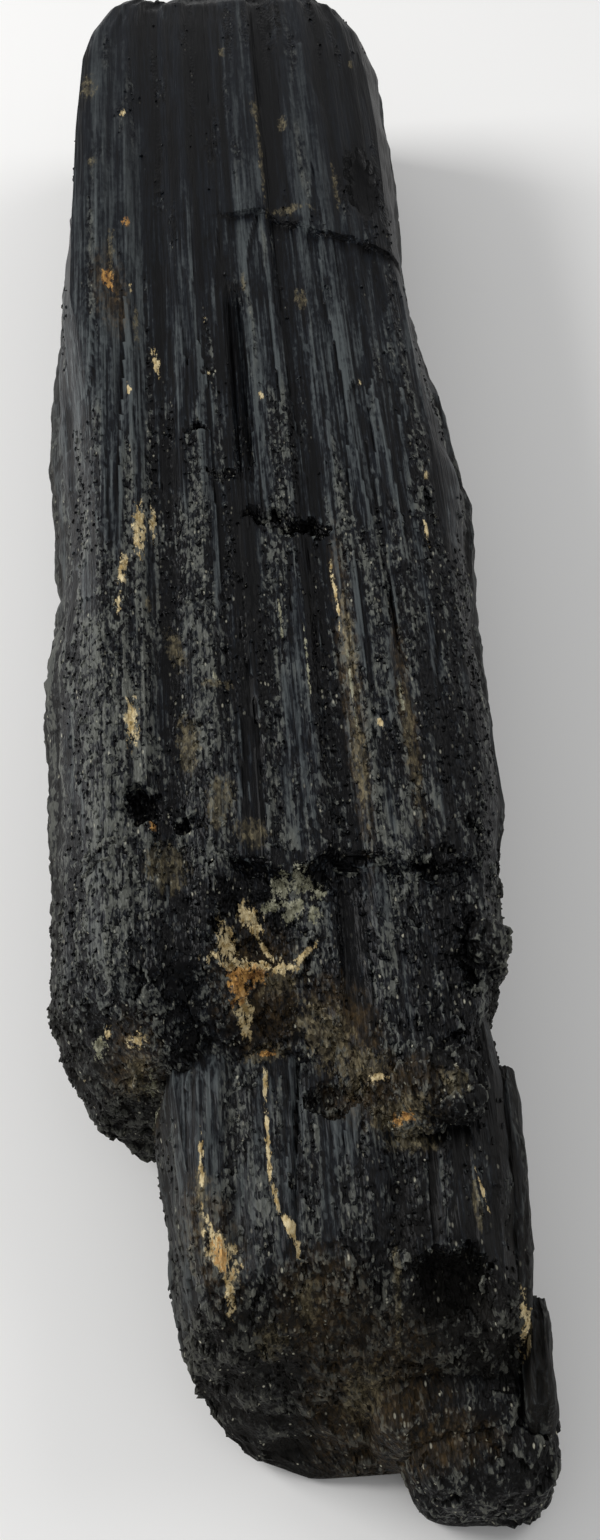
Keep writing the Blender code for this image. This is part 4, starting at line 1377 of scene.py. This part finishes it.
@dataclass
class Specimen:
    """The whole growth: every crystal and lump, with one finish."""

    finish: SchorlFinish

    def parts(self) -> list:
        """Set out the crystals and lumps.

        Returns:
            Each of them with its sizes, from the largest to the smallest.
        """
        places = log_rings()
        split = mean_y(NEAR_LEDGE[0])
        near = np.unique(np.concatenate((steps(-60.0, -76.0, 1.6), steps(-76.0, -111.6, 0.3))))
        thin = {"Blade Height": 0.3}
        return [
            ThickCrystal(
                "thick_crystal", LOG_OUTLINE, LOG_RIBS, places[places > split - SPLIT_OVERLAP],
                rib_step=0.26, tones=LOG_COLUMN_SHADING, grain_density=1.2, grain_foot=24.0,
                mark_foot=24.0),
            ThickCrystal(
                "broken_end", LOG_OUTLINE, LOG_RIBS, places[places < split + SPLIT_OVERLAP],
                rib_step=0.17, side_points=80, tones=LOG_COLUMN_SHADING, grain_density=1.3,
                mark_foot=20.0),
            LowerCrystal(
                "lower_crystal", NEAR_OUTLINE, NEAR_RIBS, near[::-1], rib_step=0.19,
                side_points=60, relief={"Blade Height": 0.35}, tones=NEAR_COLUMN_SHADING,
                free_height=3.5, grain_density=1.3),
            Crystal("side_prism", SIDE_PRISM, SIDE_RIBS, steps(-76.4, -105.6, 0.4),
                    rib_step=0.2, side_points=30, foot_points=6, relief=thin),
            Crystal("side_slab", SIDE_SLAB, SIDE_RIBS, steps(-99.0, -112.2, 0.35),
                    rib_step=0.2, side_points=26, foot_points=6, relief=thin),
            # The near end's lumps get a negative tone: painted shade on faces turned from the light
            Lump("foot_lump", (15.4, -109.5, 4.6), (7.6, 8.2, 7.2), 3.4, 6,
                 {"Grain Height": 0.5}, tone=-0.18),
            Lump("foot_shelf", (12.4, -104.4, 6.0), (8.2, 8.2, 7.6), 4.0, 6,
                 {"Grain Height": 0.3, "Crumb Height": 0.14}, tone=-0.16),
            Lump("overhanging_lip", (14.2, -82.6, 26.6), (4.3, 3.9, 2.1), 2.8, 6,
                 {"Grain Height": 0.8}, tone=-0.14),
            Lump("right_knob", (20.4, -66.5, 24.0), (2.6, 2.8, 4.2), 2.4, 5,
                 {"Grain Height": 0.6}),
        ]

    def build(self) -> None:
        """Build and dress every piece."""
        material = self.finish.material()
        trees = Trees(skin_tree(), grain_tree())
        for part in self.parts():
            for piece in part.build(trees, material):
                count = sum(len(face.vertices) - 2 for face in piece.data.polygons)
                LOG.info("%s: %d triangles", piece.name, count)


# ---- floor, light and camera ----

@dataclass
class Studio:
    """A pale floor, plain soft light and the camera. Sizes are in metres."""

    floor_size: float = 12.0
    floor_drop: float = 0.0002      # keeps the floor just under the crystal's flat foot
    floor_colour: str = "f5f4f2"
    floor_roughness: float = 0.85
    room_colour: str = "f0f1f3"
    room_strength: float = 0.5
    camera_place: Triple = (-0.00618, -0.16493, 0.1806)
    camera_way: Triple = (0.0434, 0.6141, -0.788)
    lens: float = 40.7
    clip: Span = (0.01, 20.0)
    light_aim: Triple = (0.0, -0.02, 0.02)
    # name, place, width and power of each soft square light
    lights: tuple = (("left_softbox", (-0.6, 0.15, 0.42), 0.35, 4.4),
                     ("right_softbox", (0.6, 0.25, 0.6), 0.45, 1.6))

    def floor(self) -> None:
        """Lay a plain matt floor."""
        half = self.floor_size / 2.0
        corners = [(x * half, y * half, 0.0) for x, y in ((-1, -1), (1, -1), (1, 1), (-1, 1))]
        mesh = bpy.data.meshes.new("floor")
        mesh.from_pydata(corners, [], [(0, 1, 2, 3)])
        material = bpy.data.materials.new("pale_paper")
        material.use_nodes = True
        shader = material.node_tree.nodes["Principled BSDF"].inputs
        shader["Base Color"].default_value = srgb(self.floor_colour)
        shader["Roughness"].default_value = self.floor_roughness
        mesh.materials.append(material)
        piece = link("floor", mesh)
        piece.location.z = -self.floor_drop

    def light(self) -> None:
        """Set up the lights, all facing the crystal, and the room's own light."""
        for name, place, size, power in self.lights:
            data = bpy.data.lights.new(name, "AREA")
            data.shape, data.size, data.energy = "SQUARE", size, power
            lamp = link(name, data)
            lamp.location = place
            aim = Vector(self.light_aim) - Vector(place)
            lamp.rotation_euler = aim.to_track_quat("-Z", "Y").to_euler()
        world = bpy.data.worlds.new("pale_room")
        world.use_nodes = True
        back = world.node_tree.nodes["Background"].inputs
        back["Color"].default_value = srgb(self.room_colour)
        back["Strength"].default_value = self.room_strength
        bpy.context.scene.world = world
        bpy.context.scene.view_settings.view_transform = "Standard"

    def camera(self) -> None:
        """Set up the camera, with no depth of field and no shift."""
        data = bpy.data.cameras.new("camera")
        data.lens = self.lens
        data.clip_start, data.clip_end = self.clip
        piece = link("camera", data)
        piece.location = self.camera_place
        piece.rotation_euler = Vector(self.camera_way).to_track_quat("-Z", "Y").to_euler()
        bpy.context.scene.camera = piece

    def build(self) -> None:
        """Set up the camera, the floor and the light."""
        self.camera()
        self.floor()
        self.light()


def main() -> None:
    """Build the studio and the specimen."""
    logging.basicConfig(level=logging.INFO, format="%(name)s: %(message)s")
    Studio().build()
    Specimen(SchorlFinish()).build()


if __name__ == "__main__":
    main()
